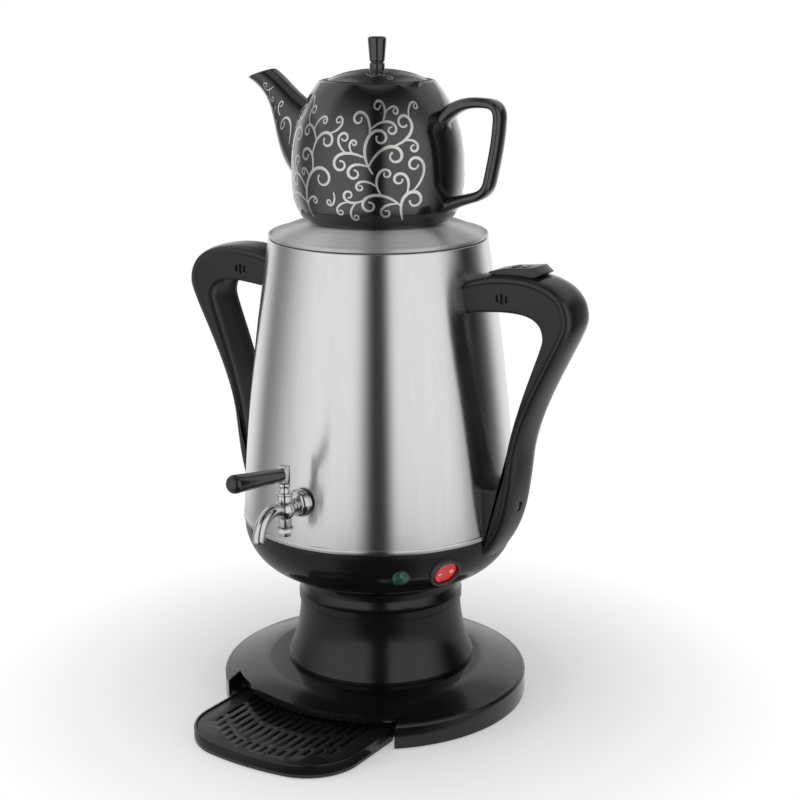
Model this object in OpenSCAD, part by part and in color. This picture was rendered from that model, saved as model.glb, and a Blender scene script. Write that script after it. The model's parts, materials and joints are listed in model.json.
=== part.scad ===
// Electric samovar: steel water urn on a black pedestal, with a lever tap, a drip tray,
// two arm handles and a glazed teapot that keeps warm on the lid.
// Millimetres, +Z up, origin on the axis at the base's underside, tap towards -Y, right handle
// towards +X. The rubber feet reach a little below the origin.

/* [Base] */
// Radius of the base disc
base_r = 113; // [110:0.5:120]
// How far the middle of the base stands ahead of the axis
base_ahead = 8; // [4:0.5:10]
// Height of the upright edge of the base
base_edge_h = 16.5; // [14.5:0.5:20]
// Height of the base where the pedestal stands
base_h = 24.5; // [23:0.5:30]
// Wall thickness of the moulded plastic shells
wall = 3; // [2.4:0.1:3.6]
// Radius of each rubber foot
foot_r = 8; // [6:0.5:9]
// Gap under the base, made by its feet
foot_h = 1; // [0.8:0.1:2]

/* [Drip tray] */
// Width of the drip tray
tray_w = 131; // [122:1:134]
// Height of the drip tray
tray_h = 10; // [9.5:0.1:11]
// Reach of the tray's front edge from the axis
tray_reach = 172; // [160:1:180]
// Corner radius of the tray's front
tray_corner_r = 40; // [30:1:45]
// Radius of the bowed front edge
tray_bow_r = 200; // [160:5:400]
// Wall and floor thickness of the tray
tray_wall = 1.8; // [1.4:0.1:2]
// Thickness of the drip grille
grille_t = 2.2; // [1.8:0.1:2.4]
// Width of one slot in the grille
slot_w = 3; // [2:0.1:4]
// Distance between neighbouring slots
slot_pitch = 7; // [6:0.5:9]
// Running gap around the tray and its grille
tray_gap = 0.5; // [0.4:0.1:0.8]

/* [Pedestal and bowl] */
// Radius of the pedestal at its foot
ped_foot_r = 69.5; // [68:0.5:74]
// Radius of the pedestal at its top
ped_top_r = 60; // [58.5:0.5:61]
// Height of the pedestal's top above the base's underside
ped_top_z = 70.5; // [66:0.5:76]
// Radius of the narrow neck under the bowl
neck_r = 57; // [56:0.5:59]
// Height of the bowl's underside above the base's underside
bowl_z = 95.5; // [93:0.5:99]
// Radius of the rounded lower edge of the bowl
bowl_round = 38; // [34:0.5:39]

/* [Tank] */
// Height of the seam between bowl and steel tank
seam_z = 135.5; // [134:0.5:140]
// Radius of the tank at its foot
tank_foot_r = 100; // [98:0.5:102]
// Radius of the tank at its top
tank_top_r = 78.4; // [76:0.2:80]
// Height of the tank's top above the base's underside
tank_top_z = 341.2; // [330:0.2:350]
// How long the tank's side stays upright before it leans in
tank_curve = 1.5; // [1.3:0.05:1.8]
// Thickness of the steel tank wall
steel_t = 1.2; // [0.8:0.1:1.6]
// Height of the chrome trim ring
ring_h = 3.6; // [3:0.1:5]
// Stand-out of the trim ring from the tank
ring_out = 0.8; // [0.4:0.1:1.5]

/* [Lid] */
// Width of the flange around the filling opening
flange_w = 7.4; // [6.4:0.2:9]
// Height of the lid's dished top above the tank
lid_rise = 11.4; // [9:0.1:14]
// Radius of the steam opening under the teapot
steam_r = 33; // [28:0.5:35]
// Depth of the lid's skirt inside the tank
skirt_h = 14; // [10:0.5:20]

/* [Tap] */
// Height of the tap's centre above the base's underside
tap_z = 169.5; // [166:0.5:180]
// Distance from the tank's face to the tap's ball
tap_reach = 19.5; // [19:0.5:24]
// Radius of the tap's ball
ball_r = 7.4; // [7:0.1:8.5]
// Radius of the tap's escutcheon
tap_flange_r = 10; // [9:0.5:12]
// Outer radius of the spout
tap_spout_r = 4.3; // [4:0.1:4.8]
// Bore radius of the spout
tap_bore_r = 2.9; // [2.4:0.1:3]
// Radius of the spout's bend
tap_bend_r = 17; // [15:0.5:20]
// Radius of the turning plug
plug_r = 3.2; // [3:0.1:3.6]
// Length of the lever's grip
lever_len = 56; // [45:1:65]
// Upward slant of the lever in degrees
lever_tilt = 8; // [4:1:12]

/* [Handles] */
// Width of each handle
handle_w = 36; // [32:1:38]
// Thickness of the outer cover strip
cover_t = 5; // [4:0.5:5.5]
// Crown of the outer cover strip
cover_crown = 3.4; // [2:0.2:3.6]
// Width left open between the cover strip and each edge
cover_inset = 1.4; // [0.8:0.1:2]
// Height of the handle's foot shelf above the base's underside
foot_shelf_z = 174; // [171:0.5:177]
// Length of the thumb slider
slider_l = 46; // [40:1:48]
// Width of the thumb slider
slider_w = 22; // [18:0.5:24]
// Travel of the thumb slider
slider_travel = 5; // [4:0.5:6]

/* [Teapot] */
// Largest radius of the pot
pot_r = 61; // [58:0.1:64]
// Height of the pot from its foot to its rim
pot_h = 97.1; // [90:0.1:100]
// Radius of the pot's foot
pot_foot_r = 45; // [42:0.5:46]
// Outer radius of the pot's rim
pot_rim_r = 41.3; // [40:0.1:44]
// Radius of the pot's opening
pot_mouth_r = 33.5; // [31:0.5:35]
// Wall thickness of the pot
pot_wall = 4; // [3:0.1:4.5]
// Radius of the pot's lid
pot_lid_r = 35; // [35:0.1:37]
// Rise of the pot's lid from its edge to its middle
pot_lid_rise = 7.2; // [6:0.1:10]
// Height of the knob on the pot's lid
knob_h = 22; // [16:0.5:25]
// Radius of the knob at its top
knob_r = 6.6; // [5:0.1:7]

/* [Switch and lamp] */
// Direction of the rocker switch, from the tap towards the right handle
switch_az = 61; // [55:1:68]
// Direction of the pilot lamp, from the tap towards the right handle
lamp_az = 41.5; // [30:0.5:43]
// Slant of both below the level, on the bowl's rounded edge
panel_drop = 24.5; // [20:0.5:30]
// Outer radius of the switch bezel
bezel_r = 12; // [11.5:0.1:13]
// Radius of the rocker
rocker_r = 9.2; // [8.6:0.1:9.4]
// Angle between the rocker's two rest positions
rocker_swing = 14; // [10:1:16]
// Radius of the lamp's lens
lens_r = 5; // [4:0.1:5.5]

/* [Hidden] */
$fn = 64;
seat_gap = 0.1;
run_gap = 0.3;
pin_gap = 0.05;

// Heights that follow from the sizes above
ring_z = seam_z + ring_h;
plate_t = 2;
neck_floor_z = ped_top_z + 0.5;
pot_z = tank_top_z + lid_rise + 0.3;
pot_top_z = pot_z + pot_h;
fill_r = tank_top_r - flange_w;
bowl_c = [tank_foot_r - bowl_round, bowl_z + bowl_round];

// A point list along an arc, from angle a0 to a1
function arc_pts(c, r, a0, a1, n) =
    [for (i = [0:n]) c + r * [cos(a0 + (a1 - a0) * i / n), sin(a0 + (a1 - a0) * i / n)]];

// A point on a cubic curve with four control points
function bez(p, t) =
    pow(1 - t, 3) * p[0] + 3 * pow(1 - t, 2) * t * p[1] + 3 * (1 - t) * t * t * p[2] + pow(t, 3) * p[3];

// The curve's direction there, of length one
function bez_dir(p, t) =
    let (d = pow(1 - t, 2) * (p[1] - p[0]) + 2 * (1 - t) * t * (p[2] - p[1]) + t * t * (p[3] - p[2]))
    d / norm(d);

// Radius of the tank at height z
function tank_r(z) =
    tank_foot_r - (tank_foot_r - tank_top_r) * pow(max(0, z - seam_z) / (tank_top_z - seam_z), tank_curve);

// The tank's side as [radius, height] points, moved inwards by inset
function tank_side(inset, n = 14) =
    [for (i = [0:n]) let (z = ring_z + (tank_top_z - ring_z) * i / n) [tank_r(z) - inset, z]];

// Radius of the pot's outside at height z: full below its widest, leaning in to the rim above it
function pot_side_r(z) =
    let (belly = 0.36 * pot_h, h = z - pot_z)
    h < belly
        ? pot_foot_r + (pot_r - pot_foot_r) * pow(max(0, 1 - pow(max(0, 1 - h / belly), 2.5)), 0.4)
        : pot_rim_r + (pot_r - pot_rim_r) * max(0, 1 - pow((h - belly) / (pot_h - belly), 2.5));

// A closed skin through a list of rings that have equal numbers of points
module loft(rings) {
    n = len(rings[0]);
    m = len(rings);
    polyhedron(
        points = [for (r = rings) each r],
        faces = concat(
            [[for (i = [0:n - 1]) i]],
            [for (k = [0:m - 2], i = [0:n - 1])
                [k * n + i, (k + 1) * n + i, (k + 1) * n + (i + 1) % n, k * n + (i + 1) % n]],
            [[for (i = [n - 1:-1:0]) (m - 1) * n + i]]),
        convexity = 6);
}

// Copies its children at equal angles around the axis
module ring_of(count, first = 0) {
    for (i = [0:count - 1])
        rotate([0, 0, first + i * 360 / count]) children();
}

// A hexagonal nut, standing on the ground plane
module hex_nut(across, h, bore) {
    difference() {
        cylinder(h = h, r = across / 2 / cos(30), $fn = 6);
        translate([0, 0, -1]) cylinder(h = h + 2, r = bore);
    }
}

// ---------------------------------------------------------------- base

dome_r0 = ped_foot_r + base_ahead + 1;
shoulder = 3;
bay_half = tray_w / 2 + 7;
bay_back_y = ped_foot_r + 9;
mouth_r = base_r - 4.5;
wire_hole_r = 22;
feet_pcd_r = base_r - 10 - foot_r;
// The front feet stand beside the bay
front_foot_az = asin(min(1, (bay_half + wall + foot_r + 2) / feet_pcd_r));
feet_az = [front_foot_az, 140, 220, 360 - front_foot_az];
face_r = 24;
groove_w = 2;
groove_t = 0.6;
boss_pcd_r = (ped_foot_r + ped_top_r) / 2 - 6;
plate_pcd_r = wire_hole_r + 14;
screw_r = 1.6;

// Half section of the base, moved inwards by inset
function base_section(inset) =
    let (top = base_edge_h + shoulder / 2, r1 = base_r - shoulder)
    concat(
        [[0, inset > 0 ? -1 : 0], [base_r - inset, inset > 0 ? -1 : 0]],
        arc_pts([r1, top - shoulder], max(shoulder - inset, 0.05), 0, 90, 4),
        [for (i = [7:-1:0])
            [dome_r0 + (r1 - inset - dome_r0) * i / 8, top - inset + (base_h - top) * (1 - pow(i / 8, 1.5))]],
        [[0, base_h - inset]]);

module base_solid(inset) {
    translate([0, -base_ahead, 0]) rotate_extrude($fn = 128) polygon(base_section(inset));
}

// Plan of the bay that takes the tray, grown by extra
module bay_plan(extra) {
    front_y = base_r + base_ahead + 5;
    translate([-bay_half - extra, -front_y])
        square([2 * (bay_half + extra), front_y - bay_back_y + extra]);
}

module base_shell() {
    color("#141416") difference() {
        union() {
            difference() {
                base_solid(0);
                base_solid(wall);
            }
            intersection() {
                base_solid(0);
                linear_extrude(height = base_h) bay_plan(wall);
            }
            ring_of(3, 90) translate([plate_pcd_r, 0, plate_t])
                cylinder(h = base_h - wall - plate_t + 1, r = 4);
        }
        // Bay under the dome, open at the front
        translate([0, 0, -1]) linear_extrude(height = base_edge_h + shoulder / 2 - wall + 1) bay_plan(0);
        translate([0, 0, -1]) linear_extrude(height = base_h + 2) difference() {
            bay_plan(0);
            circle(r = mouth_r, $fn = 128);
        }
        // Wiring hole and pedestal screw holes
        translate([0, 0, base_h - wall - 1]) cylinder(h = wall + 2, r = wire_hole_r);
        ring_of(3, 90) translate([boss_pcd_r, 0, base_h - wall - 1])
            cylinder(h = wall + 2, r = screw_r + 0.3);
        ring_of(3, 90) translate([plate_pcd_r, 0, 0]) cylinder(h = base_h - wall, r = screw_r);
    }
}

module at_feet() {
    for (az = feet_az)
        translate([0, -base_ahead, 0]) rotate([0, 0, az - 90]) translate([feet_pcd_r, 0, 0]) children();
}

module base_plate() {
    color("#1b1b1d") difference() {
        translate([0, -base_ahead, 0]) cylinder(h = plate_t, r = base_r - wall - tray_gap, $fn = 128);
        translate([0, 0, -1]) linear_extrude(height = plate_t + 2) bay_plan(wall + tray_gap);
        at_feet() translate([0, 0, -1]) cylinder(h = plate_t + 2, r = foot_r / 2);
        ring_of(3, 90) translate([plate_pcd_r, 0, -1]) cylinder(h = plate_t + 2, r = screw_r + 0.3);
        // Ring groove around the plain middle of the underside
        translate([0, 0, -1]) difference() {
            cylinder(h = groove_t + 1, r = face_r + groove_w);
            cylinder(h = groove_t + 1, r = face_r);
        }
    }
}

module rubber_feet() {
    color("#2a2a2a") at_feet() translate([0, 0, -foot_h]) {
        cylinder(h = foot_h, r = foot_r);
        cylinder(h = foot_h + plate_t, r = foot_r / 2);
    }
}

// Long screws that hold the plate to the bosses of the base
module plate_screws() {
    color("#9a9a9a") ring_of(3, 90) translate([plate_pcd_r, 0, 0]) {
        translate([0, 0, -foot_h / 2]) cylinder(h = foot_h / 2, r = screw_r * 2);
        cylinder(h = base_h - wall - 1, r = screw_r);
    }
}

// ---------------------------------------------------------------- drip tray

tray_half = tray_w / 2;
tray_back_y = bay_back_y + run_gap;
tray_back_round = 8;
grille_top = tray_h - 0.8;
grille_z = grille_top - grille_t;

// Plan of the tray, moved inwards by inset: bowed front, round corners, straight back edge
function tray_plan(inset) =
    let (half = tray_half - inset, cr = tray_corner_r - inset, bow = tray_bow_r - inset,
        bow_y = tray_bow_r - tray_reach, cx = half - cr,
        cy = bow_y - sqrt(pow(bow - cr, 2) - cx * cx),
        lean = atan2(cx, bow_y - cy), br = tray_back_round - inset, by = -tray_back_y - tray_back_round)
    concat(
        arc_pts([0, bow_y], bow, 270 - lean, 270 + lean, 6),
        arc_pts([cx, cy], cr, 270 + lean, 360, 8),
        arc_pts([half - br, by], br, 0, 90, 4),
        arc_pts([br - half, by], br, 90, 180, 4),
        arc_pts([-cx, cy], cr, 180, 270 - lean, 8));

module drip_tray() {
    color("#161618") difference() {
        linear_extrude(height = tray_h) polygon(tray_plan(0));
        translate([0, 0, tray_wall]) linear_extrude(height = tray_h)
            polygon(tray_plan(tray_wall + 1.4));
        translate([0, 0, grille_z - 0.1]) linear_extrude(height = tray_h)
            polygon(tray_plan(tray_wall));
    }
}

module tray_pads() {
    color("#2a2a2a") for (x = [-1, 1], y = [-0.9, -0.6])
        translate([x * tray_half * 0.6, y * (tray_reach - 14), -foot_h]) cylinder(h = foot_h, r = 3.5);
}

// The slots run front to back and follow the plate's outline
module drip_grille() {
    count = floor((tray_half - 10) / slot_pitch);
    row_len = 20;
    bridge = 5;
    first_len = 9;
    color("#1c1c1e") difference() {
        translate([0, 0, grille_z]) linear_extrude(height = grille_t)
            polygon(tray_plan(tray_wall + tray_gap));
        translate([0, 0, grille_z - 1]) linear_extrude(height = grille_t + 2) intersection() {
            polygon(tray_plan(tray_wall + tray_gap + 5));
            union() for (i = [-count:count]) {
                // The first row follows the bowed front edge
                x = i * slot_pitch;
                y0 = tray_bow_r - tray_reach - sqrt(pow(tray_bow_r - 9, 2) - x * x)
                    + max(0, abs(x) - tray_half + tray_corner_r + 6) * 0.55;
                translate([x - slot_w / 2, y0]) square([slot_w, first_len]);
                for (k = [0:2])
                    translate([x - slot_w / 2, y0 + first_len + bridge + k * (row_len + bridge)])
                        square([slot_w, row_len]);
            }
        }
    }
}

// ---------------------------------------------------------------- pedestal and bowl

ped_flare_r = 100;
ped_scoop_z = ped_top_z - 0.5;
neck_in_r = neck_r - wall;
neck_floor_t = wall;
neck_flange_r = ped_top_r + 0.9;
neck_screw_r = 40;
neck_scoop_r = 11.5;

module pedestal_section(inset) {
    difference() {
        square([ped_foot_r - inset, ped_top_z - inset]);
        translate([ped_top_r + ped_flare_r, ped_scoop_z]) circle(r = ped_flare_r + inset, $fn = 96);
        translate([ped_top_r - inset, ped_scoop_z]) square([ped_foot_r, ped_top_z]);
        translate([-1, -1]) square([ped_foot_r + 2, base_h + 1 - (inset > 0 ? 1 : 0)]);
    }
}

module pedestal() {
    color("#101012") difference() {
        union() {
            difference() {
                rotate_extrude($fn = 96) pedestal_section(0);
                rotate_extrude($fn = 96) pedestal_section(wall);
            }
            // Screw bosses, each tied to the wall by a rib
            intersection() {
                rotate_extrude($fn = 96) pedestal_section(0);
                ring_of(3, 90) union() {
                    translate([boss_pcd_r, 0, base_h]) cylinder(h = 16, r = 4.5);
                    translate([boss_pcd_r, -1.5, base_h]) cube([20, 3, 16]);
                }
            }
            // Spigot that leaves a fine groove under the neck
            translate([0, 0, ped_top_z - 1])
                cylinder(h = neck_floor_z - ped_top_z + 1, r = neck_in_r, $fn = 96);
        }
        ring_of(3, 90) translate([boss_pcd_r, 0, base_h - 1]) cylinder(h = 15, r = screw_r);
        translate([0, 0, ped_top_z - wall - 1]) cylinder(h = wall + 3, r = wire_hole_r);
        ring_of(3, 30) translate([neck_screw_r, 0, ped_top_z - wall - 1])
            cylinder(h = wall + 3, r = screw_r + 0.3);
    }
}

module pedestal_screws() {
    color("#9a9a9a") ring_of(3, 90) translate([boss_pcd_r, 0, 0]) {
        translate([0, 0, base_h - wall - 2]) cylinder(h = 2, r = screw_r * 2);
        translate([0, 0, base_h - wall - 1]) cylinder(h = wall + 13, r = screw_r);
    }
}

// Half section of the bowl, moved inwards by inset and open to the top where it is a hollow
module bowl_section(inset) {
    top = seam_z + (inset > 0 ? 1 : 0);
    intersection() {
        union() {
            translate(bowl_c) circle(r = bowl_round - inset, $fn = 96);
            translate([0, bowl_z + inset]) square([bowl_c[0], top - bowl_z - inset]);
            translate([0, bowl_c[1]]) square([tank_foot_r - inset, top - bowl_c[1]]);
        }
        square([tank_foot_r, top]);
    }
}

module bowl_solid(inset = 0) {
    rotate_extrude($fn = 128) bowl_section(inset);
}

// Places its children on the bowl's rounded edge, with +Z along the outward normal
module on_bowl(az) {
    rotate([0, 0, az - 90]) translate([bowl_c[0], 0, bowl_c[1]])
        rotate([0, 90 + panel_drop, 0]) translate([0, 0, bowl_round]) children();
}

gland_r = 6;
barrel_r = bezel_r - 2;

// Scooped collar between the pedestal and the bowl
module neck_collar() {
    color("#0e0e10") difference() {
        rotate_extrude($fn = 96) difference() {
            translate([0, neck_floor_z]) square([neck_flange_r, bowl_z - neck_floor_z]);
            translate([neck_r + neck_scoop_r, bowl_z - 10]) circle(r = neck_scoop_r);
        }
        translate([0, 0, neck_floor_z + neck_floor_t])
            cylinder(h = bowl_z - neck_floor_z, r = neck_in_r, $fn = 96);
        translate([0, 0, neck_floor_z - 1]) cylinder(h = neck_floor_t + 2, r = wire_hole_r);
        ring_of(3, 30) translate([neck_screw_r, 0, neck_floor_z - 1])
            cylinder(h = neck_floor_t + 2, r = screw_r);
    }
}

module bowl_housing() {
    color("#0e0e10") difference() {
        bowl_solid(0);
        bowl_solid(wall);
        translate([0, 0, bowl_z - 1]) cylinder(h = wall + 2, r = neck_in_r, $fn = 96);
        on_bowl(switch_az) translate([0, 0, -12]) cylinder(h = 20, r = barrel_r + 0.2);
        on_bowl(lamp_az) translate([0, 0, -12]) cylinder(h = 20, r = lens_r + 0.2);
        on_bowl(180) translate([0, 0, -12]) cylinder(h = 20, r = gland_r + 0.1);
    }
}

module neck_screws() {
    color("#9a9a9a") ring_of(3, 30) translate([neck_screw_r, 0, 0]) {
        translate([0, 0, ped_top_z - wall - 2]) cylinder(h = 2, r = screw_r * 2);
        translate([0, 0, ped_top_z - wall - 1]) cylinder(h = wall + neck_floor_t + 1.5, r = screw_r);
    }
}

cord_bore_r = 3.6;

module cord_gland() {
    color("#1c1c1c") difference() {
        union() {
            difference() {
                on_bowl(180) translate([0, 0, -3]) cylinder(h = 7, r1 = gland_r + 3, r2 = gland_r + 1.5);
                bowl_solid(0);
            }
            on_bowl(180) translate([0, 0, -6]) cylinder(h = 8, r = gland_r);
        }
        on_bowl(180) translate([0, 0, -7]) cylinder(h = 12, r = cord_bore_r);
    }
}

module terminal_block() {
    color("#d8d4c8") difference() {
        translate([-16, 24, neck_floor_z + neck_floor_t]) cube([32, 12, 12]);
        for (i = [-1:1])
            translate([i * 10, 30, neck_floor_z + neck_floor_t + 4]) cylinder(h = 10, r = 2);
    }
}

// ---------------------------------------------------------------- tank and heater

rod_r = 3;
rod_pcd_r = neck_in_r - 7;
element_r = 34;
element_wire_r = 4;
element_leg = 18;
element_gap = 24;
heat_plate_t = 6;
floor_t = 1.5;
heat_plate_z = ring_z - heat_plate_t;

module trim_ring() {
    color("#d9d9dc") translate([0, 0, seam_z]) difference() {
        cylinder(h = ring_h, r = tank_foot_r + ring_out, $fn = 128);
        translate([0, 0, -1]) cylinder(h = ring_h + 2, r = tank_foot_r - wall - 5, $fn = 128);
    }
}

module tap_hole() {
    translate([0, -tank_r(tap_z) - 5, tap_z]) rotate([-90, 0, 0]) cylinder(h = 20, r = shank_r + 0.2);
}

module tank_shell() {
    color("#c4c5c7") difference() {
        rotate_extrude($fn = 128) polygon(concat(
            tank_side(0),
            [for (i = [14:-1:0]) tank_side(steel_t)[i]]));
        tap_hole();
    }
}

// Flange around the filling opening, brazed inside the shell's top edge
module tank_collar() {
    color("#c4c5c7") translate([0, 0, tank_top_z - steel_t]) difference() {
        cylinder(h = steel_t, r = tank_top_r - steel_t, $fn = 128);
        translate([0, 0, -1]) cylinder(h = steel_t + 2, r = fill_r, $fn = 128);
    }
}

module tank_floor() {
    color("#b9babd") difference() {
        translate([0, 0, ring_z])
            cylinder(h = floor_t, r = tank_r(ring_z + floor_t) - steel_t - seat_gap, $fn = 128);
        ring_of(3) translate([rod_pcd_r, 0, ring_z - 1]) cylinder(h = floor_t + 2, r = rod_r + 0.1);
    }
}

module heat_plate() {
    color("#b0b2b4") difference() {
        translate([0, 0, heat_plate_z]) cylinder(h = heat_plate_t, r = element_r + 7, $fn = 96);
        translate([0, 0, heat_plate_z])
            rotate_extrude($fn = 96) translate([element_r, 0]) circle(r = element_wire_r + pin_gap, $fn = 24);
    }
}

// Tubular ring, let into the plate, with its two ends turned down
module heating_element() {
    color("#5a4a42") translate([0, 0, heat_plate_z]) {
        rotate([0, 0, 90 + element_gap / 2])
            rotate_extrude(angle = 360 - element_gap, $fn = 96) translate([element_r, 0])
                circle(r = element_wire_r, $fn = 24);
        for (s = [-1, 1])
            rotate([0, 0, 90 + s * element_gap / 2]) translate([element_r, 0, -element_leg])
                cylinder(h = element_leg, r = element_wire_r, $fn = 24);
    }
}

module thermostat() {
    color("#8a8d90") translate([0, 0, heat_plate_z - 9]) {
        cylinder(h = 9, r = 12);
        for (s = [-1, 1])
            translate([s * 6 - 0.4, -3, -8]) cube([0.8, 6, 8]);
    }
}

// Strap under the thermostat, with slots for its two tabs
module thermostat_bracket() {
    color("#a5a7aa") translate([0, 0, heat_plate_z]) {
        difference() {
            translate([-22, -5, -10.2]) cube([44, 10, 1.2]);
            for (s = [-1, 1])
                translate([s * 6 - 0.8, -3.4, -11]) cube([1.6, 6.8, 3]);
        }
        for (s = [-1, 1])
            translate([s * 21 - 1, -5, -10.2]) cube([2, 10, 10.2]);
    }
}

module thermal_fuse() {
    color("#d0c8b0") translate([-8, -24, heat_plate_z - 3]) rotate([0, 90, 0]) cylinder(h = 16, r = 3);
}

// Rods that pull the tank's floor down on the neck
module tie_rods() {
    color("#b4b4b4") ring_of(3) translate([rod_pcd_r, 0, 0]) {
        translate([0, 0, neck_floor_z + neck_floor_t])
            cylinder(h = ring_z + floor_t - neck_floor_z - neck_floor_t, r = rod_r);
        translate([0, 0, ring_z + floor_t]) cylinder(h = 2.5, r = rod_r * 1.8, $fn = 6);
        translate([0, 0, neck_floor_z + neck_floor_t]) cylinder(h = 4, r = rod_r * 1.8, $fn = 6);
    }
}

// ---------------------------------------------------------------- lid

gasket_t = 0.7;
lid_z = tank_top_z + gasket_t;
bead_r = 1.5;
skirt_r = fill_r - 1.2;

// Height of the lid's top at radius r: a dish that flattens towards the middle
function lid_top(r) =
    let (t = (tank_top_r - bead_r - r) / (tank_top_r - bead_r - pot_foot_r - 3))
    tank_top_z + 2.4 + (lid_rise - 2.4) * sin(90 * min(1, max(0, t)));

lid_steps = 8;
lid_in_r = pot_foot_r + 3;
lid_out_r = tank_top_r - bead_r;
lid_radii = [for (i = [0:lid_steps]) lid_out_r + (lid_in_r - lid_out_r) * i / lid_steps];
// The dish's underside as [radius, height] points
lid_under = [for (r = lid_radii) [r, lid_top(r) - steel_t]];

module top_lid() {
    color("#c8c9cb") rotate_extrude($fn = 128) {
        polygon(concat(
            [for (r = lid_radii) [r, lid_top(r)]],
            [[steam_r, tank_top_z + lid_rise], [steam_r, tank_top_z + lid_rise - steel_t]],
            [for (i = [lid_steps:-1:0]) lid_under[i]]));
        // Rolled edge
        translate([lid_out_r, lid_z + bead_r]) circle(r = bead_r, $fn = 24);
        translate([lid_out_r - 4, lid_z]) square([4, steel_t]);
    }
}

// Skirt that centres the lid in the filling opening
module lid_skirt() {
    inner = skirt_r - steel_t;
    color("#c8c9cb") rotate_extrude($fn = 128) polygon([
        [inner, lid_z - skirt_h], [skirt_r, lid_z - skirt_h],
        [skirt_r, lookup(skirt_r, lid_under)], [inner, lookup(inner, lid_under)]]);
}

module lid_gasket() {
    color("#3a3a3c") translate([0, 0, tank_top_z]) difference() {
        cylinder(h = gasket_t, r = tank_top_r - 1.6, $fn = 128);
        translate([0, 0, -1]) cylinder(h = gasket_t + 2, r = fill_r + 0.8, $fn = 128);
    }
}

// ---------------------------------------------------------------- tap

shank_r = 5;
tap_face_y = -tank_r(tap_z - tap_flange_r) - 0.02;
ball_y = tap_face_y - tap_reach;
washer_t = 1;
block_w = 6.4;
block_h = 12.5;
block_z = tap_z + ball_r + 11.6;
neck_top = tap_z + ball_r + 3.2;
neck_stem_r = 3.6;
collar_r = 5.2;
tail_r = 4.6;
tail_z = tap_z - ball_r - 4.5;
nut_h = 5;
nut_across = 8.6;
lock_nut_across = 16;
shank_l = 14;

module tap_washer() {
    color("#303030") translate([0, tap_face_y, tap_z]) rotate([90, 0, 0]) difference() {
        cylinder(h = washer_t, r = tap_flange_r - 0.6);
        translate([0, 0, -1]) cylinder(h = washer_t + 2, r = shank_r);
    }
}

bend_start = 65;

// Round bar bent in the Y-Z plane, from the ball over and down to the outlet
module spout_bend(from, to, r) {
    translate([0, ball_y - 5.6 - tap_bend_r * cos(bend_start), tap_z + 1.1 - tap_bend_r * sin(bend_start)])
        rotate([90, 0, 90]) rotate([0, 0, from])
            rotate_extrude(angle = to - from, $fn = 72) translate([tap_bend_r, 0]) circle(r = r, $fn = 32);
}

module tap_body() {
    color("#d6d7da") difference() {
        union() {
            // Domed escutcheon and the stem to the ball
            translate([0, tap_face_y - washer_t, tap_z]) rotate([90, 0, 0]) rotate_extrude() polygon(concat(
                [[0, 0], [tap_flange_r, 0], [tap_flange_r, 1.2]],
                [for (i = [0:5]) [4.2 + (tap_flange_r - 4.6) * cos(i * 18), 1.2 + 5 * sin(i * 18)]],
                [[4.2, tap_reach - 3], [0, tap_reach - 3]]));
            translate([0, ball_y, tap_z]) sphere(r = ball_r, $fn = 48);
            // Threaded shank through the tank's wall
            translate([0, tap_face_y - washer_t, tap_z]) rotate([-90, 0, 0])
                cylinder(h = shank_l, r = shank_r);
            // Upper collar and lower neck around the plug
            translate([0, ball_y, tap_z]) cylinder(h = ball_r + 3.2, r = collar_r);
            translate([0, ball_y, tail_z]) cylinder(h = tap_z - tail_z, r = tail_r);
            spout_bend(bend_start, 180, tap_spout_r);
        }
        translate([0, ball_y, tail_z - 1]) cylinder(h = neck_top - tail_z + 2, r = plug_r + pin_gap);
        spout_bend(bend_start - 14, 182, tap_bore_r);
        // Water way from the tank to the plug
        translate([0, ball_y, tap_z]) rotate([-90, 0, 0])
            cylinder(h = tap_reach + shank_l + 1, r = tap_bore_r);
    }
}

inner_washer_r = shank_r + 3.4;
// The flat washer lies against the curved inside at its upper edge
tank_in_y = -sqrt(pow(tank_r(tap_z + inner_washer_r) - steel_t, 2) - pow(inner_washer_r, 2)) + 0.02;

module tap_inner_washer() {
    color("#303030") translate([0, tank_in_y, tap_z]) rotate([-90, 0, 0]) difference() {
        cylinder(h = washer_t, r = inner_washer_r);
        translate([0, 0, -1]) cylinder(h = washer_t + 2, r = shank_r);
    }
}

module tap_lock_nut() {
    color("#c9b26a") translate([0, tank_in_y + washer_t, tap_z]) rotate([-90, 0, 0])
        hex_nut(lock_nut_across, 4, shank_r);
}

// Plug, neck and lever block in one turning piece
module tap_plug() {
    color("#d6d7da") difference() {
        union() {
            translate([0, ball_y, tail_z - nut_h - 2])
                cylinder(h = neck_top - tail_z + nut_h + 2 + pin_gap, r = plug_r);
            translate([0, ball_y, neck_top + pin_gap]) cylinder(h = 1.6, r = collar_r + 0.5);
            translate([0, ball_y, neck_top + 1]) cylinder(h = block_z - neck_top, r = neck_stem_r);
            translate([-block_w / 2, ball_y - block_w / 2, block_z]) cube([block_w, block_w, block_h]);
        }
        // Cross bore that opens when the lever is turned
        translate([0, ball_y, tap_z]) rotate([0, 90, 0])
            cylinder(h = 20, r = tap_bore_r - 0.6, center = true);
    }
}

module tap_spring_washer() {
    color("#b8b9bb") translate([0, ball_y, tail_z - 1.4]) difference() {
        cylinder(h = 1.2, r = 5.4);
        translate([0, 0, -1]) cylinder(h = 4, r = plug_r);
    }
}

module tap_plug_nut() {
    color("#d6d7da") translate([0, ball_y, tail_z - 1.4 - nut_h]) hex_nut(nut_across, nut_h, plug_r);
}

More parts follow.
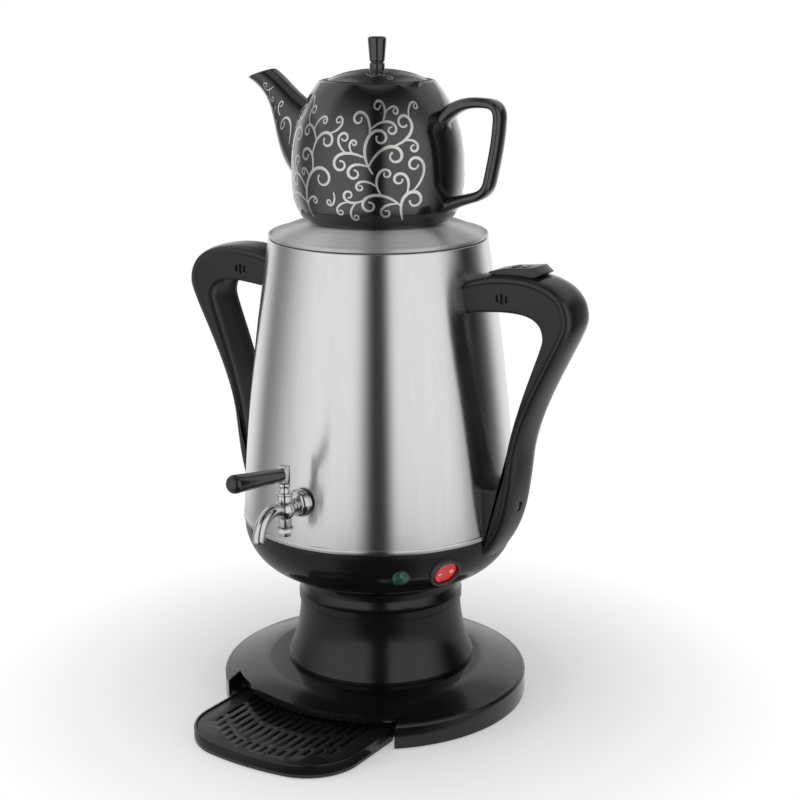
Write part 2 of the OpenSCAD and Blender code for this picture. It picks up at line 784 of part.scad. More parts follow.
// Tapered grip with a rounded end
module lever_grip() {
    grip_r0 = 4.6;
    grip_r1 = 6.4;
    color("#131315") translate([0, ball_y - block_w / 2, block_z + block_h * 0.52])
        rotate([90 - lever_tilt, 0, 0]) difference() {
            rotate_extrude() polygon(concat(
                [[0, -1.5], [grip_r0 - 0.5, -1.5], [grip_r0, 0]],
                [[grip_r0 + 0.5, 12], [grip_r1 - 0.5, lever_len - 14]],
                arc_pts([grip_r1 - 3, lever_len - 3], 3, 0, 90, 5),
                [[0, lever_len]]));
            rotate([lever_tilt, 0, 0]) translate([-20, -20, -10]) cube([40, 40, 10]);
        }
}

// ---------------------------------------------------------------- switch and lamp

pivot_depth = 2.5;
barrel_l = 22;
rocker_top = 2.3;
half_v = rocker_swing / 2;

module switch_frame() {
    color("#26262a") difference() {
        union() {
            difference() {
                on_bowl(switch_az) translate([0, 0, -3]) cylinder(h = 4.8, r1 = bezel_r, r2 = bezel_r - 0.8);
                bowl_solid(0);
            }
            on_bowl(switch_az) translate([0, 0, -barrel_l]) cylinder(h = barrel_l + 1, r = barrel_r);
        }
        on_bowl(switch_az) translate([0, 0, -pivot_depth - 9]) cylinder(h = 20, r = rocker_r + run_gap);
        on_bowl(switch_az) translate([0, 0, -pivot_depth]) rotate([0, 90, 0])
            cylinder(h = 2 * barrel_r + 2, r = 1.2 + pin_gap, center = true, $fn = 24);
    }
}

// Ball-shaped rocker with a shallow V on top, resting with its right half pressed in
module rocker() {
    color("#c81e1e") on_bowl(switch_az) translate([0, 0, -pivot_depth]) rotate([-half_v, 0, 0]) {
        intersection() {
            sphere(r = rocker_r, $fn = 64);
            union() for (s = [-1, 1])
                translate([0, 0, rocker_top]) rotate([s * half_v, 0, 0])
                    translate([-20, -20, -2 * rocker_top - 3]) cube([40, 40, 2 * rocker_top + 3]);
        }
        rotate([0, 90, 0]) cylinder(h = 2 * barrel_r - 0.4, r = 1.2, center = true, $fn = 24);
    }
}

module rocker_contacts() {
    color("#c9a94a") on_bowl(switch_az) for (s = [-1:1])
        translate([-2.4, s * 5 - 0.4, -barrel_l - 8]) cube([4.8, 0.8, 8]);
}

module lamp_lens() {
    color("#1d7a4a") {
        difference() {
            on_bowl(lamp_az) translate([0, 0, -2]) cylinder(h = 3, r = lens_r + 1);
            bowl_solid(0);
        }
        on_bowl(lamp_az) {
            translate([0, 0, -8]) cylinder(h = 9, r = lens_r);
            intersection() {
                translate([0, 0, -3]) sphere(r = 7, $fn = 48);
                cylinder(h = 6, r = lens_r);
            }
        }
    }
}

module lamp_holder() {
    color("#e8e4da") on_bowl(lamp_az) {
        translate([0, 0, -20]) cylinder(h = 12, r = lens_r - 0.8);
        for (s = [-1, 1])
            translate([-1, s * 2 - 0.3, -26]) cube([2, 0.6, 6]);
    }
}

// ---------------------------------------------------------------- handles

// Points out from the tank: one counted down from its top edge, one counted up from the seam
function top_pt(out, down) = [tank_top_r + out, tank_top_z - down];
function foot_pt(out, up) = [tank_foot_r + out, seam_z + up];

// Outer crown and inner edge of the handle in the X-Z plane, as cubic curves
outer_top = [top_pt(-2.4, 22.2), top_pt(33.1, 8.7), top_pt(84.1, 10.7), top_pt(84.1, 44.7)];
outer_mid = [top_pt(84.1, 44.7), top_pt(84.1, 58.2), foot_pt(28, 100.5), foot_pt(23, 61)];
outer_low = [foot_pt(23, 61), foot_pt(19, 26.5), foot_pt(17, 6.5), foot_pt(-1, -14.5)];
inner_top = [top_pt(-2.4, 44.2), top_pt(30.6, 41.2), top_pt(63.1, 33.7), top_pt(63.1, 56.7)];
inner_mid = [top_pt(63.1, 56.7), top_pt(63.1, 63.2), foot_pt(20, 96.5), foot_pt(14.5, 60.5)];
inner_low = [foot_pt(14.5, 60.5), foot_pt(13.5, 53.5), foot_pt(11.5, 44.5),
    [tank_foot_r + 8, foot_shelf_z + 1]];
arm_steps = 9;
low_steps = 7;
grip_recess = 1.6;
rim_w = 4;

// Outward normal of a curve that runs clockwise around the hand gap
function outward(p, t) = let (d = bez_dir(p, t)) [-d[1], d[0]];

// [outer crown, outward normal] at each station along the cover strip
cover_stations = concat(
    [for (i = [0:arm_steps - 1]) [bez(outer_top, i / arm_steps), outward(outer_top, i / arm_steps)]],
    [for (i = [0:arm_steps - 1]) [bez(outer_mid, i / arm_steps), outward(outer_mid, i / arm_steps)]],
    [for (i = [0:low_steps]) [bez(outer_low, i / low_steps), outward(outer_low, i / low_steps)]]);

// Parting line between the cover strip and the handle's body
parting = [for (s = cover_stations) s[0] - cover_t * s[1]];

// Inner line of the handle, around the hand gap
inner_line = concat(
    [for (i = [0:arm_steps - 1]) bez(inner_top, i / arm_steps)],
    [for (i = [0:arm_steps - 1]) bez(inner_mid, i / arm_steps)],
    [for (i = [0:3]) bez(inner_low, i / 3)]);

// Side view of the handle's body, with the foot behind the cover strip
module handle_plan() {
    n = len(parting);
    polygon(concat(
        inner_line,
        [[tank_foot_r + 5, foot_shelf_z], [tank_foot_r - 16, foot_shelf_z], foot_pt(-16, -11)],
        [for (i = [n - 1:-1:0]) parting[i]]));
}

// Shallow recess along the inner line, between the two rims
module recess_plan() {
    function in_n(i) = let (d = inner_line[i + 1] - inner_line[i - 1]) [-d[1], d[0]] / norm(d);
    polygon(concat(
        [for (i = [2:17]) inner_line[i] - 3 * in_n(i)],
        [for (i = [17:-1:2]) inner_line[i] + grip_recess * in_n(i)]));
}

// Ring of the cover strip at one station: flat underside and a crowned top
function cover_ring(s) =
    let (h = handle_w / 2 - cover_inset)
    [for (q = concat(
            [[h, 0], [-h, 0]],
            [for (i = [0:6]) let (a = 180 - i * 30)
                [h * cos(a), cover_t - cover_crown + cover_crown * sin(a)]]))
        let (p = s[0] + (q[1] - cover_t) * s[1]) [p[0], q[0], p[1]]];

// Everything that the handles must follow: tank, ring and bowl, grown by the seat gap
module urn_envelope() {
    rotate_extrude($fn = 128) polygon(concat(
        [[0, bowl_z]],
        arc_pts(bowl_c, bowl_round + seat_gap, -60, 0, 12),
        [[tank_foot_r + seat_gap, seam_z - seat_gap],
            [tank_foot_r + ring_out + seat_gap, seam_z - seat_gap],
            [tank_foot_r + ring_out + seat_gap, ring_z + seat_gap]],
        [for (p = tank_side(0)) p + [seat_gap, p[1] == ring_z ? seat_gap : 0]],
        [[0, tank_top_z]]));
}

foot_screw_z = seam_z + 23.5;
foot_head_x = tank_foot_r + 14.5;
stud_r = 2.6;
stud_l = 18;
stud_z = (bez(outer_top, 0.1)[1] + bez(inner_top, 0.1)[1]) / 2 - 1;
stud_x = tank_r(stud_z - stud_r) + 0.05;
slot_x = tank_top_r + 32.6;
slot_z = tank_top_z - 31.2;
slider_x = tank_top_r + 40.6;
slider_floor = bez(outer_top, 0.4)[1] - 2;

// Extrudes a side view to width w, centred on the X-Z plane
module upright(w) {
    translate([0, w / 2, 0]) rotate([90, 0, 0]) linear_extrude(height = w) children();
}

module foot_screw_bore(r) {
    translate([tank_foot_r - 20, 0, foot_screw_z]) rotate([0, 90, 0]) cylinder(h = 50, r = r);
}

module handle_body() {
    color("#17171a") difference() {
        upright(handle_w) handle_plan();
        upright(handle_w - 2 * rim_w) recess_plan();
        urn_envelope();
        // Three small slots in each side face
        for (side = [-1, 1], i = [-1:1])
            translate([slot_x + i * 3.6, side * handle_w / 2, slot_z])
                cube([1.5, 4, i == 0 ? 7 : 5], center = true);
        foot_screw_bore(screw_r + 0.5);
        translate([stud_x - 9, 0, stud_z]) rotate([0, 90, 0])
            cylinder(h = stud_l + 10, r = stud_r + seat_gap);
    }
}

module handle_cover() {
    color("#1b1b1e") difference() {
        loft([for (s = cover_stations) cover_ring(s)]);
        urn_envelope();
        // Counterbore of the lower screw
        foot_screw_bore(screw_r + 0.5);
        translate([foot_head_x, 0, foot_screw_z]) rotate([0, 90, 0]) cylinder(h = 20, r = 3.8);
    }
}

module handle_right_body() {
    handle_body();
}

// The right cover also carries the thumb slider in a pocket with a guide slot
module handle_right_cover() {
    difference() {
        handle_cover();
        translate([slider_x - slider_l / 2 - slider_travel - 1, -slider_w / 2 - run_gap, slider_floor])
            cube([slider_l + slider_travel + 2, slider_w + 2 * run_gap, 20]);
        translate([slider_x - 14 - slider_travel - 1, -3 - run_gap / 2, slider_floor - 1.4])
            cube([24 + slider_travel + 2, 6 + run_gap, 5]);
    }
}

module handle_left_body() {
    mirror([1, 0, 0]) handle_body();
}

module handle_left_cover() {
    mirror([1, 0, 0]) handle_cover();
}

module handle_screws() {
    color("#8e8e92") for (s = [-1, 1])
        rotate([0, 0, s > 0 ? 0 : 180]) translate([0, 0, foot_screw_z]) rotate([0, 90, 0]) {
            translate([0, 0, foot_head_x]) cylinder(h = 2, r = 3.2);
            translate([0, 0, tank_r(foot_screw_z) + 0.2])
                cylinder(h = foot_head_x - tank_r(foot_screw_z), r = screw_r);
        }
}

// Studs welded to the tank inside the upper ends of the handles
module handle_studs() {
    color("#a8a8ab") for (s = [-1, 1])
        rotate([0, 0, s > 0 ? 0 : 180]) translate([stud_x, 0, stud_z])
            rotate([0, 90, 0]) cylinder(h = stud_l, r = stud_r);
}

// Low pad with an upturned outer lip, and a key in the guide slot
module thumb_slider() {
    x0 = slider_x - slider_l / 2;
    x1 = slider_x + slider_l / 2;
    z0 = slider_floor + run_gap;
    color("#1e1e21") {
        upright(slider_w) polygon([
            [x0, z0], [x0 + 28, z0], [x1 - 2, z0 + 2], [x1, z0 + 4.7], [x1 - 1.6, z0 + 8],
            [x1 - 3.4, z0 + 8.2], [x1 - 9, z0 + 6.1], [x0 + 7, z0 + 3.5], [x0 + 1.5, z0 + 1.8]]);
        translate([slider_x - 14, -3, z0 - 1.3]) cube([24, 6, 2]);
        for (i = [0:1])
            translate([slider_x - 1 + i * 6, -6, z0 + 4.5]) cube([1.6, 12, 2.2]);
    }
}

// ---------------------------------------------------------------- teapot

pot_floor_z = pot_z + 6;
pot_lid_z = pot_top_z + 1.4;
lip_h = 1.2;
scoop_r = 16;

// The pot's side as [radius, height] points, moved inwards by inset
function pot_side(inset, z0, z1, n) =
    [for (i = [0:n]) let (z = z0 + (z1 - z0) * i / n) [max(1, pot_side_r(z) - inset), z]];

module pot_solid(inset) {
    rotate_extrude($fn = 96) polygon(concat(
        [[0, pot_z + inset * 1.5]],
        pot_side(inset, pot_z + inset * 1.5, pot_top_z - inset, 18),
        [[0, pot_top_z - inset]]));
}

module teapot_pot() {
    color("#121214") difference() {
        union() {
            pot_solid(0);
            translate([0, 0, pot_top_z - 1])
                cylinder(h = 1 + lip_h, r1 = pot_rim_r - 1.2, r2 = pot_rim_r - 3.2, $fn = 96);
        }
        pot_solid(pot_wall);
        translate([0, 0, pot_top_z - pot_wall - 1]) cylinder(h = pot_wall + 5, r = pot_mouth_r, $fn = 96);
        // Hollow foot
        translate([0, 0, pot_z - 1]) cylinder(h = 2.6, r = pot_foot_r - 5, $fn = 96);
        // Strainer holes behind the spout
        for (row = [0:2], k = [-1:1])
            translate([-pot_r - 2, k * 7, pot_z + 38 + row * 8])
                rotate([0, 90, 0]) cylinder(h = 14, r = 1.8, $fn = 24);
        // Scoop in the rim where a finger lifts the lid
        rotate([0, 0, -22]) translate([pot_mouth_r + 1, 0, pot_top_z + scoop_r - 3])
            rotate([0, 90, 0]) cylinder(h = pot_wall + 14, r = scoop_r, $fn = 48);
    }
}

// A point beside the pot, in shares of its largest radius and of its height
function pot_pt(out, up) = [out * pot_r, pot_z + up * pot_h];

// Spout edges in the X-Z plane, and its half width at the root and at the tip
spout_outer = [pot_pt(-0.951, 0.181), pot_pt(-1.653, 0.421), pot_pt(-1.162, 0.798), pot_pt(-1.81, 0.984)];
spout_inner = [pot_pt(-0.491, 0.741), pot_pt(-1.082, 0.803), pot_pt(-1.246, 0.989), pot_pt(-1.467, 1.061)];
spout_root_w = 15.5;
spout_tip_w = 9.5;
spout_wall = 3;

function spout_ring(t, inset) =
    let (a = bez(spout_outer, t), b = bez(spout_inner, t), c = (a + b) / 2,
        half = norm(a - b) / 2 - inset, e = (b - a) / norm(b - a),
        wide = spout_root_w + (spout_tip_w - spout_root_w) * t - inset)
    [for (i = [0:13]) let (g = 360 * i / 14, q = c + half * cos(g) * e) [q[0], wide * sin(g), q[1]]];

module teapot_spout() {
    color("#121214") difference() {
        loft([for (i = [0:9]) spout_ring(i / 9, 0)]);
        loft([for (i = [-1:10]) spout_ring(i / 9, spout_wall)]);
        pot_solid(-0.02);
    }
}

// Ear-shaped handle: centre line in the X-Z plane
ear = [
    [pot_pt(0.82, 0.721), pot_pt(1.049, 0.891), pot_pt(1.278, 0.886), pot_pt(1.459, 0.88)],
    [pot_pt(1.459, 0.88), pot_pt(1.582, 0.875), pot_pt(1.615, 0.835), pot_pt(1.607, 0.762)],
    [pot_pt(1.607, 0.762), pot_pt(1.59, 0.597), pot_pt(1.541, 0.473), pot_pt(1.492, 0.34)],
    [pot_pt(1.492, 0.34), pot_pt(1.467, 0.278), pot_pt(1.41, 0.247), pot_pt(1.311, 0.227)],
    [pot_pt(1.311, 0.227), pot_pt(1.148, 0.195), pot_pt(1.016, 0.175), pot_pt(0.82, 0.124)]
];
ear_t = 3.5;
ear_half_w = 7.2;
ear_steps = 4;

function ear_ring(curve, t, thick) =
    let (c = bez(curve, t), d = bez_dir(curve, t), n = [-d[1], d[0]])
    [for (i = [0:9]) let (g = 36 * i, q = c + thick * cos(g) * n)
        [q[0], ear_half_w * sin(g), q[1]]];

module teapot_handle() {
    last = len(ear) * ear_steps;
    color("#121214") difference() {
        loft([for (k = [0:last])
            let (seg = min(floor(k / ear_steps), len(ear) - 1), t = k / ear_steps - seg,
                end_share = max(0, 1 - min(k, last - k) / 4))
            ear_ring(ear[seg], t, ear_t + 2 * end_share)]);
        pot_solid(-0.02);
    }
}

knob_z = pot_lid_z + pot_lid_rise;

module teapot_lid() {
    lid_curve = [[pot_lid_r, 0], [pot_lid_r - 5, 2.2], [pot_lid_r * 0.62, pot_lid_rise - 0.7],
        [4.6, pot_lid_rise]];
    color("#121214") difference() {
        rotate_extrude($fn = 96) {
            polygon(concat(
                [[0, 0], [pot_lid_r - 0.4, 0], [pot_lid_r, 0.5]],
                [for (i = [1:9]) bez(lid_curve, i / 9)],
                [[0, pot_lid_rise]]) + [for (i = [0:12]) [0, pot_lid_z]]);
            translate([0, pot_lid_z - 7]) square([pot_mouth_r - 1, 7.5]);
        }
        translate([0, 0, pot_lid_z - 8]) cylinder(h = 8.6, r = pot_mouth_r - 5, $fn = 96);
        // Steam hole
        translate([18, 0, pot_lid_z - 1]) cylinder(h = 20, r = 1.2, $fn = 24);
    }
}

// Tapered knob with a groove near its foot
module teapot_knob() {
    color("#151517") rotate_extrude() translate([0, knob_z]) polygon([
        [0, 0], [knob_r - 1.2, 0], [knob_r - 1.2, knob_h * 0.16], [knob_r - 1.9, knob_h * 0.19],
        [knob_r - 1.9, knob_h * 0.23], [knob_r - 1.2, knob_h * 0.26], [knob_r - 0.2, knob_h * 0.8],
        [knob_r, knob_h - 1.2], [knob_r - 0.6, knob_h - 0.3], [knob_r - 1.6, knob_h], [0, knob_h]]);
}

// ---------------------------------------------------------------- assembly

base_shell();
base_plate();
rubber_feet();
plate_screws();
drip_tray();
tray_pads();
drip_grille();
pedestal();
pedestal_screws();
neck_collar();
bowl_housing();
neck_screws();
cord_gland();
terminal_block();
trim_ring();
tank_shell();
tank_collar();
tank_floor();
heat_plate();
heating_element();
thermostat();
thermostat_bracket();
thermal_fuse();
tie_rods();
top_lid();
lid_skirt();
lid_gasket();
tap_washer();
tap_body();
tap_inner_washer();
tap_lock_nut();
tap_plug();
tap_spring_washer();
tap_plug_nut();
lever_grip();
switch_frame();
rocker();
rocker_contacts();
lamp_lens();
lamp_holder();
handle_right_body();
handle_right_cover();
handle_left_body();
handle_left_cover();
handle_screws();
handle_studs();
thumb_slider();
teapot_pot();
teapot_spout();
teapot_handle();
teapot_lid();
teapot_knob();
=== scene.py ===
"""Looks for the electric samovar: steel, chrome, black plastics and a glazed teapot with silver scrolls.

Lengths are in millimetres until a mesh is made. The frame is the CAD's: +Z up, the tap towards -Y and the
handle with the thumb slider towards +X. Azimuths run from -Y towards +X. An outline is a list of points
in a plane, and data is a pair of vertices and faces.
"""
import json
import random
from math import acos, asin, atan2, copysign, cos, degrees, hypot, pi, radians, sin, sqrt, tan

import bpy
import bmesh
from mathutils import Matrix, Vector


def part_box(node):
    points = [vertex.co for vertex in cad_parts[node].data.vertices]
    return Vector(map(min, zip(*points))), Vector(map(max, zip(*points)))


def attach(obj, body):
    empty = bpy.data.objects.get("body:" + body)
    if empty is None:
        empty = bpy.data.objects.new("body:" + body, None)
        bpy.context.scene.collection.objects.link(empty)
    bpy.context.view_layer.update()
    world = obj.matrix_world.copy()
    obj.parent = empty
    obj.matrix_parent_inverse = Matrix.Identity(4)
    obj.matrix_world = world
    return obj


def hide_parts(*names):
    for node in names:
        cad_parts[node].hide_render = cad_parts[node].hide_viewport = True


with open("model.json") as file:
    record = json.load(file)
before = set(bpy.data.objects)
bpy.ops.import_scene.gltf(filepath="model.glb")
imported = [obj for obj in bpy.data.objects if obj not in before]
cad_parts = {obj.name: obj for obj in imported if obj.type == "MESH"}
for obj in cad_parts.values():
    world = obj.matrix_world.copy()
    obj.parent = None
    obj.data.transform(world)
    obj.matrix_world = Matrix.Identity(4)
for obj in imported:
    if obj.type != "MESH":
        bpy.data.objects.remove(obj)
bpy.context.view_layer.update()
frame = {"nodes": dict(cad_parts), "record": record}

MM = 0.001
TAU = 2 * pi
WELD = 0.002 * MM
SHARP = 35

# ---- sizes, from the frame


def low(node):
    """Lowest corner of a CAD node, in millimetres."""
    return Vector(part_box(node)[0]) / MM


def high(node):
    """Highest corner of a CAD node, in millimetres."""
    return Vector(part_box(node)[1]) / MM


SEAM_Z = low("trim_ring").z
RING_Z = high("trim_ring").z
TANK_TOP_Z = high("tank_shell").z
TANK_FOOT_R = 100.0
TANK_TOP_R = 78.4
TANK_CURVE = 1.5
RING_R = TANK_FOOT_R + 0.8
STEEL_T = 1.2
FILL_R = 71.0
BOWL_ROUND = 38.0
BOWL_Z = SEAM_Z - 40.0
BOWL_C = (TANK_FOOT_R - BOWL_ROUND, BOWL_Z + BOWL_ROUND)
BOWL_RIM_R = 90
WALL = 3.0
BASE_R = 113.0
BASE_AHEAD = 8.0
BASE_EDGE_H = 16.5
BASE_H = low("pedestal").z
PED_TOP_Z = 70.5
PED_TOP_R = 60.0
PED_FOOT_R = 69.5
LID_Z = high("lid_gasket").z
LID_RISE = 11.4
STEAM_R = 33.0
POT_Z = low("teapot_pot").z
POT_H = 97.1
POT_R = 61.0
POT_FOOT_R = 45.0
POT_RIM_R = 41.3
POT_MOUTH_R = 33.5
POT_LID_Z = POT_Z + POT_H + 1.4
POT_LID_R = 35.0
POT_LID_RISE = 7.2
POT_LID_CURVE = [(POT_LID_R, 0), (POT_LID_R - 5, 2.2), (POT_LID_R * 0.62, POT_LID_RISE - 0.7),
                 (4.6, POT_LID_RISE)]
TAP_Z = 169.5
BALL_R = 7.4
HANDLE_W = 36.0
PANEL_DROP = 24.5


def tank_r(z):
    """Outer radius of the steel tank at height z."""
    share = max(0.0, z - SEAM_Z) / (TANK_TOP_Z - SEAM_Z)
    return TANK_FOOT_R - (TANK_FOOT_R - TANK_TOP_R) * share ** TANK_CURVE


def pot_side_r(z):
    """Outer radius of the teapot's pot at height z."""
    belly = 0.36 * POT_H
    h = min(max(z - POT_Z, 0.0), POT_H)
    if h < belly:
        return POT_FOOT_R + (POT_R - POT_FOOT_R) * (1 - (1 - h / belly) ** 2.5) ** 0.4
    return POT_RIM_R + (POT_R - POT_RIM_R) * (1 - ((h - belly) / (POT_H - belly)) ** 2.5)


def body_envelope_r(z):
    """Outer radius of the urn at height z: bowl, trim ring or tank."""
    if z > RING_Z:
        return tank_r(z)
    if z > SEAM_Z:
        return RING_R
    dz = min(max(BOWL_C[1] - z, 0.0), BOWL_ROUND)
    return BOWL_C[0] + sqrt(BOWL_ROUND ** 2 - dz ** 2)


# ---- node materials


class Tree:
    """A node tree with short ways to add nodes."""

    def __init__(self, tree):
        self.nodes = tree.nodes
        self.links = tree.links

    def add(self, kind, feeds=None, **settings):
        """Adds a node. A feed that is a socket is linked to its input, and any other is set as its value."""
        node = self.nodes.new(kind)
        for key, value in settings.items():
            setattr(node, key, value)
        for key, source in (feeds or {}).items():
            if isinstance(source, bpy.types.NodeSocket):
                self.links.new(source, node.inputs[key])
            else:
                node.inputs[key].default_value = source
        return node

    def math(self, operation, *values, **settings):
        return self.add("ShaderNodeMath", dict(enumerate(values)), operation=operation, **settings).outputs[0]


class Shader(Tree):
    """A Principled material with helpers for the noise that varies its colour, gloss and relief."""

    def __init__(self, name, color, roughness, metallic=0.0, coat=0.0, coat_roughness=0.05, **sockets):
        self.mat = bpy.data.materials.new(name)
        self.mat.use_nodes = True
        super().__init__(self.mat.node_tree)
        self.bsdf = self.nodes["Principled BSDF"]
        self.color = color
        self.roughness = roughness
        values = {"Base Color": (*color, 1), "Roughness": roughness, "Metallic": metallic,
                  "Coat Weight": coat, "Coat Roughness": coat_roughness, **sockets}
        for socket, value in values.items():
            self.bsdf.inputs[socket].default_value = value
        self.coords = self.add("ShaderNodeTexCoord").outputs["Object"]

    def noise(self, scale, stretch=(1, 1, 1), detail=3.0, vector=None, rough=0.5):
        """Noise over object coordinates in metres, with a scale for each axis."""
        mapping = self.add("ShaderNodeMapping", {"Vector": vector or self.coords, "Scale": stretch})
        return self.add("ShaderNodeTexNoise", {"Vector": mapping.outputs["Vector"], "Scale": scale,
                                               "Detail": detail, "Roughness": rough}).outputs["Fac"]

    def dress(self, tone, streak, gloss, spread, relief, height_mm, strength=1.0):
        """Varies the colour by tone, the roughness by gloss and the height by relief."""
        ramp = self.add("ShaderNodeValToRGB", {"Fac": tone})
        for element, place, share in zip(ramp.color_ramp.elements, (0.25, 0.75), (1 - streak, 1 + streak)):
            element.position = place
            element.color = (*[min(1.0, c * share) for c in self.color], 1)
        remap = self.add("ShaderNodeMapRange", {"Value": gloss, "To Min": max(0.01, self.roughness - spread),
                                                "To Max": self.roughness + spread})
        bump = self.add("ShaderNodeBump", {"Height": relief, "Strength": strength,
                                           "Distance": height_mm * MM})
        for socket, source in (("Base Color", ramp.outputs["Color"]), ("Roughness", remap.outputs["Result"]),
                               ("Normal", bump.outputs["Normal"])):
            self.links.new(source, self.bsdf.inputs[socket])
        return self.mat


def plastic(name, color, roughness, grain_mm, relief_mm, coat=0.0, specular=0.5):
    """Moulded plastic: faint mottling, uneven gloss and a fine moulded grain."""
    shader = Shader(name, color, roughness, coat=coat, coat_roughness=0.08,
                    **{"Specular IOR Level": specular})
    return shader.dress(shader.noise(18, detail=2), 0.18, shader.noise(45, detail=4), roughness * 0.3,
                        shader.noise(1 / (grain_mm * MM), detail=2), relief_mm)


def steel(name, color, roughness, aniso, turn):
    """Bare Principled metal whose highlights stretch across its grain."""
    return Shader(name, color, roughness, metallic=1.0, Anisotropic=aniso, **{"Anisotropic Rotation": turn})


def brushed(name, color, roughness, stretch=(1, 1, 1), streak=0.12, aniso=0.55, turn=0.0):
    """Brushed steel: long fine streaks along the grain that vary tone and gloss."""
    shader = steel(name, color, roughness, aniso, turn)
    fine = shader.noise(1400, stretch=stretch, detail=5, rough=0.7)
    broad = shader.noise(160, stretch=stretch, detail=3)
    tone = shader.math("MULTIPLY_ADD", fine, 0.6, shader.math("MULTIPLY", broad, 0.4))
    return shader.dress(tone, streak, fine, roughness * 0.25, fine, 0.004, 0.5)


def radial_brushed(name, color, roughness):
    """Steel turned on its axis: fine rings that vary tone and gloss."""
    shader = steel(name, color, roughness, 0.95, 0.25)
    split = shader.add("ShaderNodeSeparateXYZ", {0: shader.coords}).outputs
    squares = [shader.math("MULTIPLY", split[axis], split[axis]) for axis in "XY"]
    radius = shader.math("SQRT", shader.math("ADD", *squares))
    joined = shader.add("ShaderNodeCombineXYZ", {"X": radius, "Z": split["Z"]})
    rings = shader.noise(1600, detail=4, vector=joined.outputs[0], rough=0.7)
    return shader.dress(rings, 0.12, rings, roughness * 0.25, rings, 0.004, 0.5)


def polished(name, color, roughness):
    """Plated or polished metal with faint waviness and wipe marks."""
    shader = Shader(name, color, roughness, metallic=1.0)
    wipes = shader.noise(120, stretch=(1, 1, 0.4), detail=5)
    return shader.dress(shader.noise(60, detail=3), 0.05, wipes, roughness * 0.6, shader.noise(90, detail=2),
                        0.012, 0.3)


def glazed(name, color):
    """Fired black glaze: a thick clear coat over a slightly mottled body."""
    shader = Shader(name, color, 0.16, coat=1.0, coat_roughness=0.03)
    return shader.dress(shader.noise(70, detail=5), 0.3, shader.noise(30, detail=3), 0.04,
                        shader.noise(55, detail=2), 0.03, 0.35)


PLASTICS = [  # slot, name, colour, roughness, grain and relief in millimetres, coat, specular
    ("body_gloss_black", "gloss_black_plastic", (0.004, 0.004, 0.0043), 0.22, 6.0, 0.006, 0.35, 0.3),
    ("plate_black", "plate_black_plastic", (0.03, 0.03, 0.031), 0.5, 0.6, 0.02),
    ("foot_rubber", "foot_rubber", (0.035, 0.035, 0.035), 0.8, 0.8, 0.04),
    ("tray_black", "tray_black_plastic", (0.006, 0.006, 0.0065), 0.28, 2.0, 0.008, 0.3, 0.35),
    ("grille_black", "grille_black_plastic", (0.009, 0.009, 0.0095), 0.34, 0.5, 0.012, 0.0, 0.4),
    ("insulator_ivory", "insulator_ivory", (0.72, 0.68, 0.57), 0.45, 0.5, 0.02),
    ("seal_silicone", "seal_silicone", (0.05, 0.05, 0.052), 0.6, 1.0, 0.02),
    ("lever_black", "lever_black_plastic", (0.006, 0.006, 0.0065), 0.22, 3.0, 0.006, 0.5),
    ("bezel_grey", "bezel_grey_plastic", (0.03, 0.03, 0.032), 0.3, 0.5, 0.01),
    ("rocker_red", "rocker_red_plastic", (0.62, 0.018, 0.012), 0.22, 2.0, 0.006, 0.6),
    ("lens_green", "lens_green_plastic", (0.006, 0.05, 0.03), 0.1, 3.0, 0.004, 1.0),
    ("handle_satin_black", "handle_satin_plastic", (0.009, 0.009, 0.0095), 0.38, 0.5, 0.012, 0.0, 0.4),
    ("handle_cover_black", "handle_cover_plastic", (0.008, 0.008, 0.0085), 0.26, 1.2, 0.008, 0.3, 0.4),
]
MATERIALS = {slot: plastic(*values) for slot, *values in PLASTICS}
MATERIALS.update({
    "fixings_steel": brushed("plated_fixings", (0.55, 0.55, 0.56), 0.35),
    "chrome_trim": polished("chrome_trim", (0.66, 0.66, 0.67), 0.14),
    "chrome_tap": polished("chrome_tap", (0.62, 0.62, 0.63), 0.08),
    "tank_brushed_steel": brushed("tank_vertical_grain", (0.70, 0.70, 0.71), 0.24, (1, 1, 0.01),
                                  streak=0.06, aniso=0.8, turn=0.25),
    "lid_brushed_steel": radial_brushed("lid_turned_grain", (0.84, 0.84, 0.85), 0.55),
    "plate_aluminium": polished("cast_aluminium", (0.62, 0.62, 0.64), 0.4),
    "element_sheath": brushed("element_sheath", (0.2, 0.16, 0.14), 0.45),
    "brass_nut": polished("machined_brass", (0.72, 0.55, 0.25), 0.25),
    "pot_glazed_black": glazed("black_glaze", (0.006, 0.006, 0.0065)),
})
SILVER = polished("silver_lustre", (0.66, 0.65, 0.63), 0.34)
MARK = plastic("switch_mark", (0.85, 0.72, 0.70), 0.4, 0.5, 0.01)
SLOT_OF = {part["node"]: part["material_slot"] for part in frame["record"]["subparts"]}
BODY_OF = {node: body for body, nodes in frame["record"]["behaviour"]["bodies"].items() for node in nodes}

for node, obj in frame["nodes"].items():
    obj.data.materials.clear()
    obj.data.materials.append(MATERIALS[SLOT_OF[node]])

# ---- outlines and data


def arc(centre, r, start, end, steps, rise=None):
    """Points from angle start to angle end. A rise other than r makes it part of an ellipse."""
    turns = [start + (end - start) * i / steps for i in range(steps + 1)]
    return [(centre[0] + r * cos(a), centre[1] + (rise or r) * sin(a)) for a in turns]


def circle(r, count, turn=0.0):
    """Points round the origin, turned by a share of their spacing."""
    return [(r * cos(a), r * sin(a)) for a in (TAU * (k + turn) / count for k in range(count))]


def rod(r, z0, z1):
    return [(0, z0), (r, z0), (r, z1), (0, z1)]


def level(outline, z):
    return [(x, y, z) for x, y in outline]


